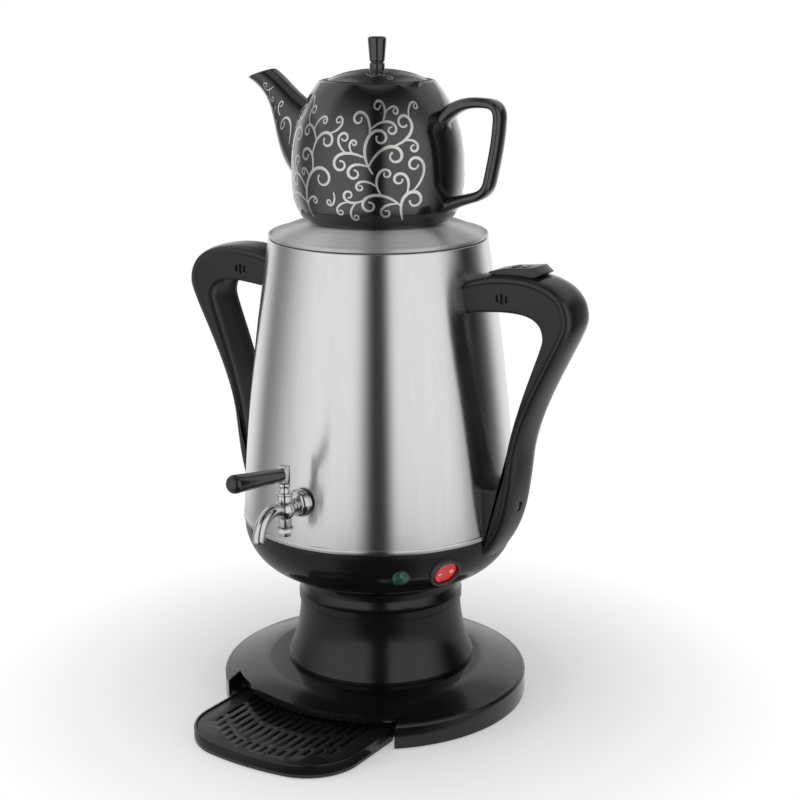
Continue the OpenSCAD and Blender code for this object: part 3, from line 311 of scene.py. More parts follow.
def fillet(corners, steps=5):
    """Rounds a closed outline. Each corner is (x, y) or (x, y, radius)."""
    out = []
    slack = 0.02
    for i, corner in enumerate(corners):
        here = Vector(corner[:2])
        before = Vector(corners[i - 1][:2]) - here
        after = Vector(corners[(i + 1) % len(corners)][:2]) - here
        half = before.angle(after) / 2 if len(corner) > 2 else 0.0
        if half < slack or half > pi / 2 - slack:
            out.append(tuple(here))
            continue
        reach = min(corner[2] / tan(half), before.length * 0.48, after.length * 0.48)
        start = here + before.normalized() * reach
        end = here + after.normalized() * reach
        for t in (k / steps for k in range(steps + 1)):
            out.append(tuple(start * (1 - t) ** 2 + here * (2 * t * (1 - t)) + end * t ** 2))
    return out


def bezier(p, t):
    a, b, c, d = (Vector(q) for q in p)
    return a * (1 - t) ** 3 + b * (3 * t * (1 - t) ** 2) + c * (3 * t * t * (1 - t)) + d * t ** 3


def lathe(profile, steps, place=Matrix()):
    """Data of a closed (radius, height) outline that is turned about Z and placed."""
    count = len(profile)
    verts = []
    faces = []
    for k in range(steps):
        a = TAU * k / steps
        verts += [place @ Vector((r * cos(a), r * sin(a), z)) for r, z in profile]
        for i in range(count):
            a, b = k * count + i, k * count + (i + 1) % count
            faces.append((a, (a + count) % (steps * count), (b + count) % (steps * count), b))
    return verts, faces


def loft(rings):
    """Data of a capped body through rings that have equal numbers of points."""
    count = len(rings[0])
    last = (len(rings) - 1) * count
    faces = []
    for k in range(0, last, count):
        for i in range(count):
            a, b = k + i, k + (i + 1) % count
            faces.append((a, b, b + count, a + count))
    faces += [tuple(range(count)), tuple(range(last, last + count))]
    return [v for ring in rings for v in ring], faces


def prism(outline, z0, z1):
    return loft([level(outline, z0), level(outline, z1)])


def box_data(size, centre=(0, 0, 0)):
    x, y, z = (s / 2 for s in size)
    cx, cy, cz = centre
    verts = [(cx + sx * x, cy + sy * y, cz + sz * z) for sx in (-1, 1) for sy in (-1, 1) for sz in (-1, 1)]
    return verts, [(0, 1, 3, 2), (4, 6, 7, 5), (0, 4, 5, 1), (2, 3, 7, 6), (0, 2, 6, 4), (1, 5, 7, 3)]


def combine(*parts):
    verts = []
    faces = []
    for part_verts, part_faces in parts:
        faces += [tuple(i + len(verts) for i in face) for face in part_faces]
        verts += part_verts
    return verts, faces


def moved(data, place):
    return [place @ Vector(v) for v in data[0]], data[1]


def mirrored(data):
    return [(-v[0], v[1], v[2]) for v in data[0]], [face[::-1] for face in data[1]]


def shift(x, y, z):
    return Matrix.Translation(Vector((x, y, z)))


def spin(angle, axis):
    return Matrix.Rotation(angle, 4, axis)


def along(origin, direction):
    """Matrix that stands the Z axis on a point, along a direction."""
    return shift(*origin) @ Vector((0, 0, 1)).rotation_difference(Vector(direction)).to_matrix().to_4x4()


def on_bowl(azimuth, lift=0.0):
    """Matrix of a point on the bowl's rounded edge: +X down the surface, +Y right, +Z outwards."""
    centre = spin(radians(azimuth - 90), "Z") @ shift(BOWL_C[0], 0, BOWL_C[1])
    return centre @ spin(radians(90 + PANEL_DROP), "Y") @ shift(0, 0, BOWL_ROUND + lift)


# ---- meshes and objects


def weld(mesh, dissolve=False):
    """Joins points that coincide, and merges flat facets or else turns the faces outwards."""
    bm = bmesh.new()
    bm.from_mesh(mesh)
    bmesh.ops.remove_doubles(bm, verts=bm.verts, dist=WELD)
    if dissolve:
        bmesh.ops.dissolve_limit(bm, angle_limit=radians(0.5), verts=bm.verts, edges=bm.edges)
    else:
        bmesh.ops.recalc_face_normals(bm, faces=bm.faces)
    bm.to_mesh(mesh)
    bm.free()


def solid_mesh(name, data):
    mesh = bpy.data.meshes.new(name)
    mesh.from_pydata([Vector(v) * MM for v in data[0]], [], data[1])
    weld(mesh)
    return mesh


def smooth(mesh, sharp=SHARP):
    mesh.shade_smooth()
    mesh.set_sharp_from_angle(angle=radians(sharp))


def add_object(name, data):
    obj = bpy.data.objects.new(name, data)
    bpy.context.scene.collection.objects.link(obj)
    return obj


def piece(data, node, name=None, material=None, sharp=SHARP, replace=True, also=()):
    """A smooth piece that takes its body and slot from a CAD node.

    It stands for that node, and for those in also, unless replace is off.
    """
    name = name or node + "_looks"
    mesh = solid_mesh(name, data)
    smooth(mesh, sharp)
    mesh.materials.append(material or MATERIALS[SLOT_OF[node]])
    obj = add_object(name, mesh)
    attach(obj, BODY_OF[node])
    if replace:
        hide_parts(node, *also)
    return obj


def revolve(profile, node, steps=192, place=Matrix(), **options):
    return piece(lathe(profile, steps, place), node, **options)


def bake(obj, kind, **settings):
    """Runs a modifier on an object's mesh."""
    modifier = obj.modifiers.new(kind, kind)
    for key, value in settings.items():
        setattr(modifier, key, value)
    mesh = bpy.data.meshes.new_from_object(obj.evaluated_get(bpy.context.evaluated_depsgraph_get()))
    obj.modifiers.clear()
    obj.data = mesh


def round_edges(obj, edge_mm, angle=40, segments=3):
    bake(obj, "BEVEL", width=edge_mm * MM, segments=segments, limit_method="ANGLE",
         angle_limit=radians(angle), use_clamp_overlap=True)


def cut(obj, *cutters, edge_mm=0.0):
    """Subtracts closed data from an object and rounds the edges that they leave."""
    for data in cutters:
        tool = add_object("cutter", solid_mesh("cutter", data))
        bake(obj, "BOOLEAN", operation="DIFFERENCE", solver="EXACT", object=tool)
        bpy.data.objects.remove(tool)
    if edge_mm:
        round_edges(obj, edge_mm)
    smooth(obj.data)


def dressed_copy(node, edge_mm, angle=40):
    """A copy of a flat-faced CAD node with its facets merged and its edges rounded."""
    mesh = frame["nodes"][node].data.copy()
    weld(mesh, dissolve=True)
    obj = add_object(node + "_looks", mesh)
    round_edges(obj, edge_mm, angle, 2)
    smooth(obj.data)
    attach(obj, BODY_OF[node])
    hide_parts(node)


# ---- base, pedestal and bowl

DOME_R = PED_FOOT_R + BASE_AHEAD + 1
SHOULDER = 3.0
SHOULDER_Z = BASE_EDGE_H + SHOULDER / 2
BAY_HALF = 72.5
BAY_BACK_Y = -PED_FOOT_R - 9
BAY_FRONT_Y = -BASE_R - BASE_AHEAD - 5
MOUTH_R = BASE_R - 4.5


def make_base():
    """Base with an upright edge, rounded shoulder and domed top, and a bay whose mouth is open upwards."""
    r = BASE_R - SHOULDER
    dome = [(DOME_R + (r - DOME_R) * t, SHOULDER_Z + (BASE_H - SHOULDER_Z) * (1 - t ** 1.5))
            for t in (i / 24 for i in range(23, -1, -1))]
    profile = fillet([(0, 0), (BASE_R, 0, 0.5), (BASE_R, BASE_EDGE_H - 2)])
    profile += arc((r, SHOULDER_Z - SHOULDER), SHOULDER, 0, pi / 2, 10) + dome + [(0, BASE_H)]
    base = revolve(profile, "base_shell", place=shift(0, -BASE_AHEAD, 0))
    front = [(-BAY_HALF, BAY_FRONT_Y), (BAY_HALF, BAY_FRONT_Y)]
    side = asin(BAY_HALF / MOUTH_R)
    bay = prism(front + [(BAY_HALF, BAY_BACK_Y), (-BAY_HALF, BAY_BACK_Y)], -1, SHOULDER_Z - WALL)
    mouth = prism(front + arc((0, 0), MOUTH_R, side - pi / 2, -side - pi / 2, 40), -1, BASE_H + 1)
    cut(base, bay, mouth, edge_mm=0.7)


def make_pedestal():
    flare_r = 100.0
    inner_r = 40
    lip_r = 54
    lip_z = PED_TOP_Z + 0.5
    centre = (PED_TOP_R + flare_r, PED_TOP_Z - 0.5)
    foot_angle = acos((centre[0] - PED_FOOT_R) / flare_r)
    profile = [(inner_r, BASE_H), (PED_FOOT_R, BASE_H, 0.5)] + arc(centre, flare_r, pi + foot_angle, pi, 30)
    profile += [(PED_TOP_R, PED_TOP_Z, 0.5), (lip_r, PED_TOP_Z), (lip_r, lip_z), (inner_r, lip_z)]
    revolve(fillet(profile), "pedestal", sharp=20)


def make_bowl():
    """Bowl over its neck's scoop and flange, with holes for the switch and the lamp."""
    inner_r = 50
    neck_r = 57.0
    scoop_r = 11.5
    flange_r = PED_TOP_R + 0.9
    z0 = PED_TOP_Z + 0.5
    centre = (neck_r + scoop_r, BOWL_Z - 10)
    low_cut = asin(min(1.0, (centre[0] - flange_r) / scoop_r))
    start = -pi / 2 - low_cut
    scoop = arc(centre, scoop_r, start, start - (pi - low_cut - radians(30)), 24)
    profile = [(inner_r, z0), (flange_r - 0.3, z0), (flange_r, z0 + 0.3), (flange_r, z0 + 3)]
    profile += [p for p in scoop if p[1] < BOWL_Z - 0.4] + arc(BOWL_C, BOWL_ROUND, -pi / 2, 0, 30)
    profile += [(TANK_FOOT_R, SEAM_Z - 0.6), (TANK_FOOT_R - 0.6, SEAM_Z), (BOWL_RIM_R, SEAM_Z),
                (BOWL_RIM_R, SEAM_Z - 6), (60, BOWL_Z + 6), (inner_r, BOWL_Z + 4)]
    bowl = revolve(profile, "bowl_housing", also=["neck_collar"])
    for r, azimuth in ((10.3, SWITCH_AZ), (5.3, LAMP_AZ)):
        cut(bowl, lathe(rod(r, -14, 4), 64, on_bowl(azimuth)))


# ---- drip tray

TRAY_HALF = high("drip_tray").x
TRAY_H = high("drip_tray").z
TRAY_REACH = -low("drip_tray").y
TRAY_CORNER_R = 40.0
TRAY_BOW_R = 200.0
TRAY_WALL = 1.8
TRAY_SHELF = TRAY_WALL + 1.4
TRAY_BACK_ROUND = 8.0
TRAY_GAP = 0.3


def tray_plan(inset):
    """Plan of the tray moved inwards by inset: bowed front, round corners, straight back."""
    half = TRAY_HALF - inset
    corner = TRAY_CORNER_R - inset
    bow = TRAY_BOW_R - inset
    bow_y = TRAY_BOW_R - TRAY_REACH
    cx = half - corner
    cy = bow_y - sqrt((bow - corner) ** 2 - cx ** 2)
    lean = atan2(cx, bow_y - cy)
    back = TRAY_BACK_ROUND - inset
    back_y = BAY_BACK_Y - TRAY_GAP - TRAY_BACK_ROUND
    down = TAU * 3 / 4
    return (arc((0, bow_y), bow, down - lean, down + lean, 24)
            + arc((cx, cy), corner, down + lean, TAU, 24)[1:]
            + arc((half - back, back_y), back, 0, TAU / 4, 10)
            + arc((back - half, back_y), back, TAU / 4, TAU / 2, 10)
            + arc((-cx, cy), corner, TAU / 2, down - lean, 24)[:-1])


def make_tray():
    section = [(2.0, 0), (0.6, 0.2), (0, 1.0), (0, TRAY_H - 0.9), (0.25, TRAY_H - 0.25), (0.8, TRAY_H),
               (TRAY_WALL - 0.2, TRAY_H), (TRAY_WALL, TRAY_H - 0.2), (TRAY_WALL, TRAY_H - 3.0),
               (TRAY_SHELF, TRAY_H - 3.1), (TRAY_SHELF, TRAY_WALL)]
    piece(loft([level(tray_plan(inset), z) for inset, z in section]), "drip_tray")
    dressed_copy("drip_grille", 0.35)


# ---- tank and lid


def make_tank():
    outer = [(tank_r(z), z) for z in (RING_Z + (TANK_TOP_Z - RING_Z) * i / 48 for i in range(49))]
    inner = [(r - STEEL_T, z) for r, z in outer[:-1]]
    under = TANK_TOP_Z - STEEL_T
    crown = fillet([outer[-2], (TANK_TOP_R, TANK_TOP_Z, 0.8), (FILL_R, TANK_TOP_Z, 0.5), (FILL_R, under),
                    (inner[-1][0], under)])[1:]
    revolve(outer[:-1] + crown + inner[::-1], "tank_shell", steps=256, sharp=50, also=["tank_collar"])
    ring = fillet([(BOWL_RIM_R, SEAM_Z), (RING_R, SEAM_Z, 0.5), (RING_R, RING_Z, 1.2),
                   (TANK_FOOT_R - 0.3, RING_Z), (BOWL_RIM_R, RING_Z)])
    revolve(ring, "trim_ring", steps=256)


def make_lid():
    """Turned lid: rolled edge, dished slope, flat ring around the steam opening, and skirt."""
    bead_r = 1.5
    edge_h = 2.4
    r_out = TANK_TOP_R - bead_r
    r_in = POT_FOOT_R + 3
    crest = TANK_TOP_Z + LID_RISE

    def slope(r):
        t = min(1.0, max(0.0, (r_out - r) / (r_out - r_in)))
        return TANK_TOP_Z + edge_h + (LID_RISE - edge_h) * sin(t * pi / 2)

    bead = arc((r_out, LID_Z + bead_r), bead_r, -pi / 2, radians(75), 11)
    top = [(r, slope(r)) for r in (r_out + (r_in - r_out) * i / 24 for i in range(1, 25))]
    under = [(r, z - STEEL_T) for r, z in top[::-1] if r > r_in]
    skirt_r = FILL_R - 1.2
    skirt_in = skirt_r - STEEL_T
    skirt_z = slope(skirt_r) - STEEL_T
    foot_z = LID_Z - 14
    profile = bead + top + [(STEAM_R, crest), (STEAM_R, crest - STEEL_T), (r_in, crest - STEEL_T)]
    profile += [p for p in under if p[0] < skirt_in]
    profile += [(skirt_in, skirt_z), (skirt_in, foot_z), (skirt_r, foot_z), (skirt_r, skirt_z)]
    profile += [p for p in under if p[0] > skirt_r] + [(r_out - 4, LID_Z + 1.2), (r_out - 4, LID_Z)]
    revolve(profile, "top_lid", steps=256, also=["lid_skirt"])


# ---- tap

TAP_REACH = 19.5
TAP_FACE_Y = -tank_r(TAP_Z - 10) - 0.02
BALL_Y = TAP_FACE_Y - TAP_REACH
NECK_TOP = BALL_R + 3.2
BLOCK_Z = 19.0
BEND_R = 17.0
SPOUT_R = 4.3
BORE_R = 2.9
BEND_START = radians(65)


def spout_rings():
    """Rings of the bent spout: out along the bend, round the lip and back up the bore."""
    cy = BALL_Y - 5.6 - BEND_R * cos(BEND_START)
    cz = TAP_Z + 1.1 - BEND_R * sin(BEND_START)
    span = pi - BEND_START

    def ring(angle, r, drop=0.0):
        centre = Vector((0, cy + BEND_R * cos(angle), cz + BEND_R * sin(angle) - drop))
        return [tuple(centre + Vector((x, y * cos(angle), y * sin(angle)))) for x, y in circle(r, 32)]

    lip = [(SPOUT_R - 0.05, 0.25), (SPOUT_R - 0.4, 0.5), (BORE_R + 0.2, 0.5), (BORE_R, 0.2)]
    return ([ring(BEND_START + span * i / 28, SPOUT_R) for i in range(29)] + [ring(pi, *step) for step in lip]
            + [ring(pi - span * i / 10, BORE_R) for i in range(8)])


def make_tap():
    flange_r = 10.0
    cup = [(0, 0), (flange_r - 0.3, 0), (flange_r, 0.3), (flange_r, 1.0)]
    cup += arc((4.3, 1.3), flange_r - 4.6, 0, pi / 2, 10, rise=5.2)
    cup += [(4.3, 7.5, 0.5), (5.2, 8.0, 0.4), (5.2, 9.6, 0.4), (4.2, 10.2, 0.5), (4.2, TAP_REACH - 3),
            (0, TAP_REACH - 3)]
    root = (0, TAP_FACE_Y - 1, TAP_Z)
    escutcheon = lathe(fillet(cup), 96, along(root, (0, -1, 0)))
    shank = lathe(rod(5, 0, 14), 48, along(root, (0, 1, 0)))
    ball = arc((0, 0), BALL_R, -pi / 2, pi / 2, 30)
    stack = fillet([(0, -BALL_R - 4.5), (4.6, -BALL_R - 4.5, 0.5), (4.6, -BALL_R + 1.6), (0, -BALL_R + 1.6)])
    collar = fillet([(0, BALL_R - 2), (5.2, BALL_R - 1.0), (5.2, NECK_TOP, 0.6), (0, NECK_TOP)])
    centre = shift(0, BALL_Y, TAP_Z)
    parts = [lathe(profile, 96, centre) for profile in (ball, stack, collar)]
    piece(combine(escutcheon, shank, *parts, loft(spout_rings())), "tap_body")

    stem = fillet([(0, -BALL_R - 11.5), (3.2, -BALL_R - 11.5, 0.5), (3.2, NECK_TOP),
                   (5.7, NECK_TOP + 0.1, 0.4), (5.7, NECK_TOP + 1.6, 0.4), (4.0, NECK_TOP + 2.2, 0.6),
                   (3.3, 15.5), (4.2, 17.4, 0.5), (4.2, BLOCK_Z), (0, BLOCK_Z)])
    revolve(stem, "tap_plug", steps=96, place=centre, name="tap_key_looks")
    block = piece(box_data((6.4, 6.4, 12.5), (0, BALL_Y, TAP_Z + BLOCK_Z + 6.25)), "tap_plug",
                  "tap_block_looks", replace=False)
    round_edges(block, 0.9)
    smooth(block.data)
    dressed_copy("tap_plug_nut", 0.4, angle=35)

    length = 56.0
    tilt = radians(8)
    grip = fillet([(0, 0), (4.0, 0, 0.6), (4.7, 1.2, 1.0), (5.1, 12), (5.9, length - 14)], steps=8)
    grip += arc((0, length - 4.6), 6.3, 0, TAU * 11 / 48, 11, rise=4.6) + [(0, length)]
    place = along((0, BALL_Y - 3.3, TAP_Z + BLOCK_Z + 6.5), (0, -cos(tilt), sin(tilt)))
    revolve(grip, "lever_grip", steps=96, place=place, sharp=50)


# ---- switch and lamp

SWITCH_AZ = 61.0
LAMP_AZ = 41.5
ROCKER_R = 9.2
ROCKER_CREST = 2.3
PIVOT_DEPTH = 2.5
HALF_V = radians(7)
MARK_Y = 4.9


def make_switch():
    """Bezel, and a rocker with two slopes on pins, with a dash and a circle as its marks."""
    bezel = fillet([(9.5, -12), (9.5, 1.1, 0.5), (10.2, 2.0, 0.5), (11.4, 1.9, 0.8), (12.0, 0.6, 0.6),
                    (12.0, -3), (10.0, -3), (10.0, -20), (9.5, -20)])
    revolve(bezel, "switch_frame", steps=96, place=on_bowl(SWITCH_AZ))

    def ring(r, z, slope=tan(HALF_V)):
        return [(x, y, z + abs(y) * slope) for x, y in circle(r, 96)]

    rings = [ring((ROCKER_R - 0.7) * k / 12, ROCKER_CREST) for k in range(1, 13)]
    rings += [ring(ROCKER_R - inset, ROCKER_CREST - drop)
              for drop, inset in ((0.15, 0.45), (0.5, 0.22), (1.0, 0.15))]
    rings += [ring(sqrt(ROCKER_R ** 2 - z * z), z, 0) for z in (0, -2, -4, -5.2)]
    pins = lathe(rod(1.2, -9.8, 9.8), 24, spin(TAU / 4, "Y"))
    place = on_bowl(SWITCH_AZ, -PIVOT_DEPTH) @ spin(-HALF_V, "X")
    piece(moved(combine(loft(rings), pins), place), "rocker")

    dash = box_data((0.8, 2.8, 0.12))
    loop = lathe([(0.8, -0.06), (1.4, -0.06), (1.4, 0.06), (0.8, 0.06)], 48)
    for name, mark, side in (("rocker_mark_on", dash, -1), ("rocker_mark_off", loop, 1)):
        lean = shift(0, side * MARK_Y, ROCKER_CREST + MARK_Y * tan(HALF_V) + 0.02) @ spin(side * HALF_V, "X")
        piece(moved(mark, place @ lean), "rocker", name, material=MARK, replace=False)


def make_lamp():
    """Green lens with a facetted dome in a thin collar."""
    place = on_bowl(LAMP_AZ)
    facets = 10
    rings = [level(circle(r, facets, turn), z)
             for r, z, turn in ((5.6, 0.9, 0), (4.6, 2.4, 0.5), (2.6, 3.5, 0), (0.9, 3.9, 0.5))]
    collar = fillet([(4.9, -6), (4.9, 1.0), (5.5, 1.3, 0.3), (6.3, 1.0, 0.5), (6.4, -3), (5.2, -3),
                     (5.2, -6)])
    piece(moved(loft(rings), place), "lamp_lens", sharp=5)
    piece(lathe(collar, 64, place), "lamp_lens", "lamp_collar_looks", replace=False)


# ---- handles

OUTER = [[(76, 319), (111.5, 332.5), (162.5, 330.5), (162.5, 296.5)],
         [(162.5, 296.5), (162.5, 283), (128, 236), (123, 196.5)],
         [(123, 196.5), (119, 162), (117, 142), (99, 121)]]
INNER = [[(76, 297), (109, 300), (141.5, 307.5), (141.5, 284.5)],
         [(141.5, 284.5), (141.5, 278), (120, 232), (114.5, 196)],
         [(114.5, 196), (113.5, 189), (111.5, 180), (108, 175)]]
COVER_T = 5.0
COVER_CROWN = 3.4
COVER_INSET = 1.4
SHELF_Z = 174.0
HEEL_X = 84
EDGE_R = 2.1
RECESS = 1.6
HUG_GAP = 0.1
VENT_X = 111
VENT_Z = 310
VENT_STEP = 3.6
SCREW_Z = 159.0
SCREW_X = 114.5


def left_of(step):
    """Unit normal on the left of a step in a plane."""
    d = step.normalized() if step.length > 1e-6 else Vector((1, 0))
    return Vector((-d.y, d.x))


def curve_points(curves, steps=28):
    """Points and outward normals along a chain of cubic curves in the X-Z plane."""
    points = [bezier(curve, i / steps) for curve in curves for i in range(steps)] + [bezier(curves[-1], 1)]
    return points, [left_of(b - a) for a, b in zip(points[:1] + points, points[1:] + points[-1:])]


def hug(x, y, z):
    """Moves a point out along X to the urn's surface if it lies inside it."""
    r = body_envelope_r(z) + HUG_GAP
    return (max(x, sqrt(max(0.0, r * r - y * y))), y, z)


def handle_body_data():
    """Rows of the side outline across the handle's width, with rounded edges and a grip recess."""
    outer, outward = curve_points(OUTER)
    inner, _ = curve_points(INNER)
    parting = [p - n * COVER_T for p, n in zip(outer, outward)]
    shelf = [Vector((105, SHELF_Z)), Vector((98, SHELF_Z - 0.3)), Vector((HEEL_X, SHELF_Z - 0.5))]
    heel = [Vector((HEEL_X, z)) for z in (165, 155, 145, 141, 139.2, 137, 135.4, 133, 130, 127, 124.5)]
    outline = inner + shelf + heel + parting[::-1]
    normals = [left_of(b - a) for a, b in zip(outline[-1:] + outline[:-1], outline[1:] + outline[:1])]
    recess = [RECESS * min(1.0, max(0.0, (t - 0.06) / 0.05), max(0.0, (0.88 - t) / 0.05))
              for t in (i / (len(inner) - 1) for i in range(len(inner)))]
    recess += [0.0] * (len(outline) - len(inner))
    half = HANDLE_W / 2
    rows = [(half, EDGE_R, 0)]
    rows += [(half - EDGE_R + EDGE_R * cos(a), EDGE_R - EDGE_R * sin(a), 0)
             for a in (radians(k * 22.5) for k in range(1, 5))]
    rows += [(13.8, 0, 0), (13.3, 0, 0.25), (12.8, 0, 0.8), (12.3, 0, 1.0), (6, 0, 1.0)]
    rings = []
    for y, inset, depth in [(-y, inset, depth) for y, inset, depth in rows] + rows[::-1]:
        inwards = [p + n * (inset + depth * dent) for p, n, dent in zip(outline, normals, recess)]
        rings.append([hug(q.x, y, q.y) for q in inwards])
    return loft(rings)


def cover_data():
    """Crowned strip along the handle. Its section is (across, lift), with the lift from the parting line."""
    half = HANDLE_W / 2 - COVER_INSET
    side = [(half, -0.8), (half, 0.4), (half - 0.15, 0.9)]
    crown = [((half - 0.5) * copysign(abs(c) ** 0.8, c), COVER_T - COVER_CROWN + COVER_CROWN * s ** 0.9)
             for c, s in arc((0, 0), 1, 0, pi, 12)]
    section = side + crown + [(-x, z) for x, z in side[::-1]]
    rings = []
    for p, n in zip(*curve_points(OUTER)):
        lifted = [(p + n * (lift - COVER_T), across) for across, lift in section]
        rings.append([hug(q.x, across, q.y) for q, across in lifted])
    return loft(rings)


def capsule(x, y, z, w, h, depth):
    """Upright oval slot that runs into the side face along Y."""
    straight = h / 2 - w / 2
    oval = [(x + dx, z + (straight if dz > 0 else -straight) + dz) for dx, dz in circle(w / 2, 24)]
    return loft([[(px, y + dy, pz) for px, pz in oval] for dy in (-depth, depth)])


def make_handles():
    slots = [capsule(VENT_X + i * VENT_STEP, side * HANDLE_W / 2, VENT_Z, 2.3, 5.2 if i else 7.6, 1.6)
             for side in (-1, 1) for i in (-1, 0, 1)]
    well = lathe(rod(3.6, 0, 30), 48, along((SCREW_X, 0, SCREW_Z), (1, 0, 0)))
    for side, flip in (("right", lambda data: data), ("left", mirrored)):
        cut(piece(flip(handle_body_data()), "handle_%s_body" % side), *[flip(slot) for slot in slots])
        cut(piece(flip(cover_data()), "handle_%s_cover" % side), flip(well))


def make_slider():
    """Thumb slider: a wedge with an upturned lip and two low ridges."""
    lo, hi = low("thumb_slider"), high("thumb_slider")
    x0, x1, z0 = lo.x, hi.x - 6, lo.z + 1.3
    outline = fillet([(x0, z0, 0.4), (x0 + 28, z0), (x1 - 3, z0 + 0.6, 0.8), (x1, z0 + 2.2, 0.8),
                      (x1 - 6, z0 + 6.8, 1.2), (x1 - 13, z0 + 5.8, 3), (x0 + 12, z0 + 4.2, 3),
                      (x0 + 1, z0 + 1.6, 0.6)])
    centre = Vector([sum(axis) / len(outline) for axis in zip(*outline)])
    edge = [(hi.y, 0.9), (hi.y - 0.25, 0.3), (hi.y - 0.9, 0)]
    rings = []
    for y, inset in [(-y, inset) for y, inset in edge] + edge[::-1]:
        spokes = [Vector(p) - centre for p in outline]
        shrunk = [centre + d * max(0.0, 1 - inset / max(d.length, 2.0)) for d in spokes]
        rings.append([(q.x, y, q.y) for q in shrunk])
    piece(loft(rings), "thumb_slider")
    for i in (0, 1):
        ridge = piece(box_data((3.0, 11, 2.0), (112.8 + i * 8.0, 0, z0 + 4.5 + i * 0.5)), "thumb_slider",
                      "thumb_ridge_%d" % i, replace=False)
        round_edges(ridge, 0.8)
        ridge.data.shade_smooth()


def make_screws():
    """Pan heads with a cross recess, sunk in the covers."""
    head = fillet([(0, 0), (3.2, 0), (3.2, 1.2, 0.8), (1.2, 1.9, 1.0), (0, 1.95)])
    for name, side in (("right", 1), ("left", -1)):
        place = along((side * SCREW_X, 0, SCREW_Z), (side, 0, 0))
        screw = piece(lathe(head, 48, place), "handle_screws", "handle_screw_" + name, replace=side > 0)
        for bar in ((3.6, 0.7, 2.0), (0.7, 3.6, 2.0)):
            cut(screw, moved(box_data(bar, (0, 0, 2.0)), place))


# ---- teapot

SPOUT_OUTER = [(-58, 17.6), (-100.8, 40.9), (-70.9, 77.5), (-110.4, 95.5)]
SPOUT_INNER = [(-30, 72), (-66, 78), (-76, 96), (-89.5, 103)]
SCOOP_AZ = radians(-22)
SCOOP_R = 16.0
EAR = [[(50, 70), (64, 86.5), (78, 86), (89, 85.5)],
       [(89, 85.5), (96.5, 85), (98.5, 81), (98, 74)],
       [(98, 74), (97, 58), (94, 46), (91, 33)],
       [(91, 33), (89.5, 27), (86, 24), (80, 22)],
       [(80, 22), (70, 19), (62, 17), (50, 12)]]
EAR_STEPS = 14


def off_pot(x, y, z):
    """Moves a point out to the pot's surface if it lies inside it."""
    r = hypot(x, y)
    wall = pot_side_r(z)
    if r < wall and POT_Z < z < POT_Z + POT_H:
        return (x * wall / r, y * wall / r, z)
    return (x, y, z)


def spout_point(t, g, inset=0.0):
    """Point under the spout's surface by inset, at share t along it and angle g round it."""
    a = bezier(SPOUT_OUTER, t)
    b = bezier(SPOUT_INNER, t)
    q = (a + b) / 2 + (b - a).normalized() * ((a - b).length / 2 - inset) * cos(g)
    return (q.x, (15.5 - 6 * t - inset) * sin(g), POT_Z + q.y)


def spout_data():
    """The spout from its root to its tip, over the lip and back down the bore."""
    angles = [TAU * k / 40 for k in range(40)]
    lip = [(1.006, 0.5), (1.008, 1.6), (1.0, 2.6)] + [(1 - i / 14, 3.0) for i in range(1, 9)]
    rings = [[off_pot(*spout_point(i / 40, g)) for g in angles] for i in range(41)]
    return loft(rings + [[spout_point(t, g, inset) for g in angles] for t, inset in lip])


def ear_data():
    """The teapot's handle: a rounded strap that is thicker at its two roots."""
    points, normals = curve_points(EAR, EAR_STEPS)
    rings = []
    for i, (point, n) in enumerate(zip(points, normals)):
        root = max(0.0, 1 - min(i, len(points) - 1 - i) / EAR_STEPS)
        thick = 3.5 + 2.4 * root ** 2
        wide = 7.0 + 0.2 * root ** 2
        ring = []
        for c, s in circle(1, 28):
            q = point + n * thick * copysign(abs(c) ** 0.72, c)
            ring.append(off_pot(q.x, wide * copysign(abs(s) ** 0.85, s), POT_Z + q.y))
        rings.append(ring)
    return loft(rings)


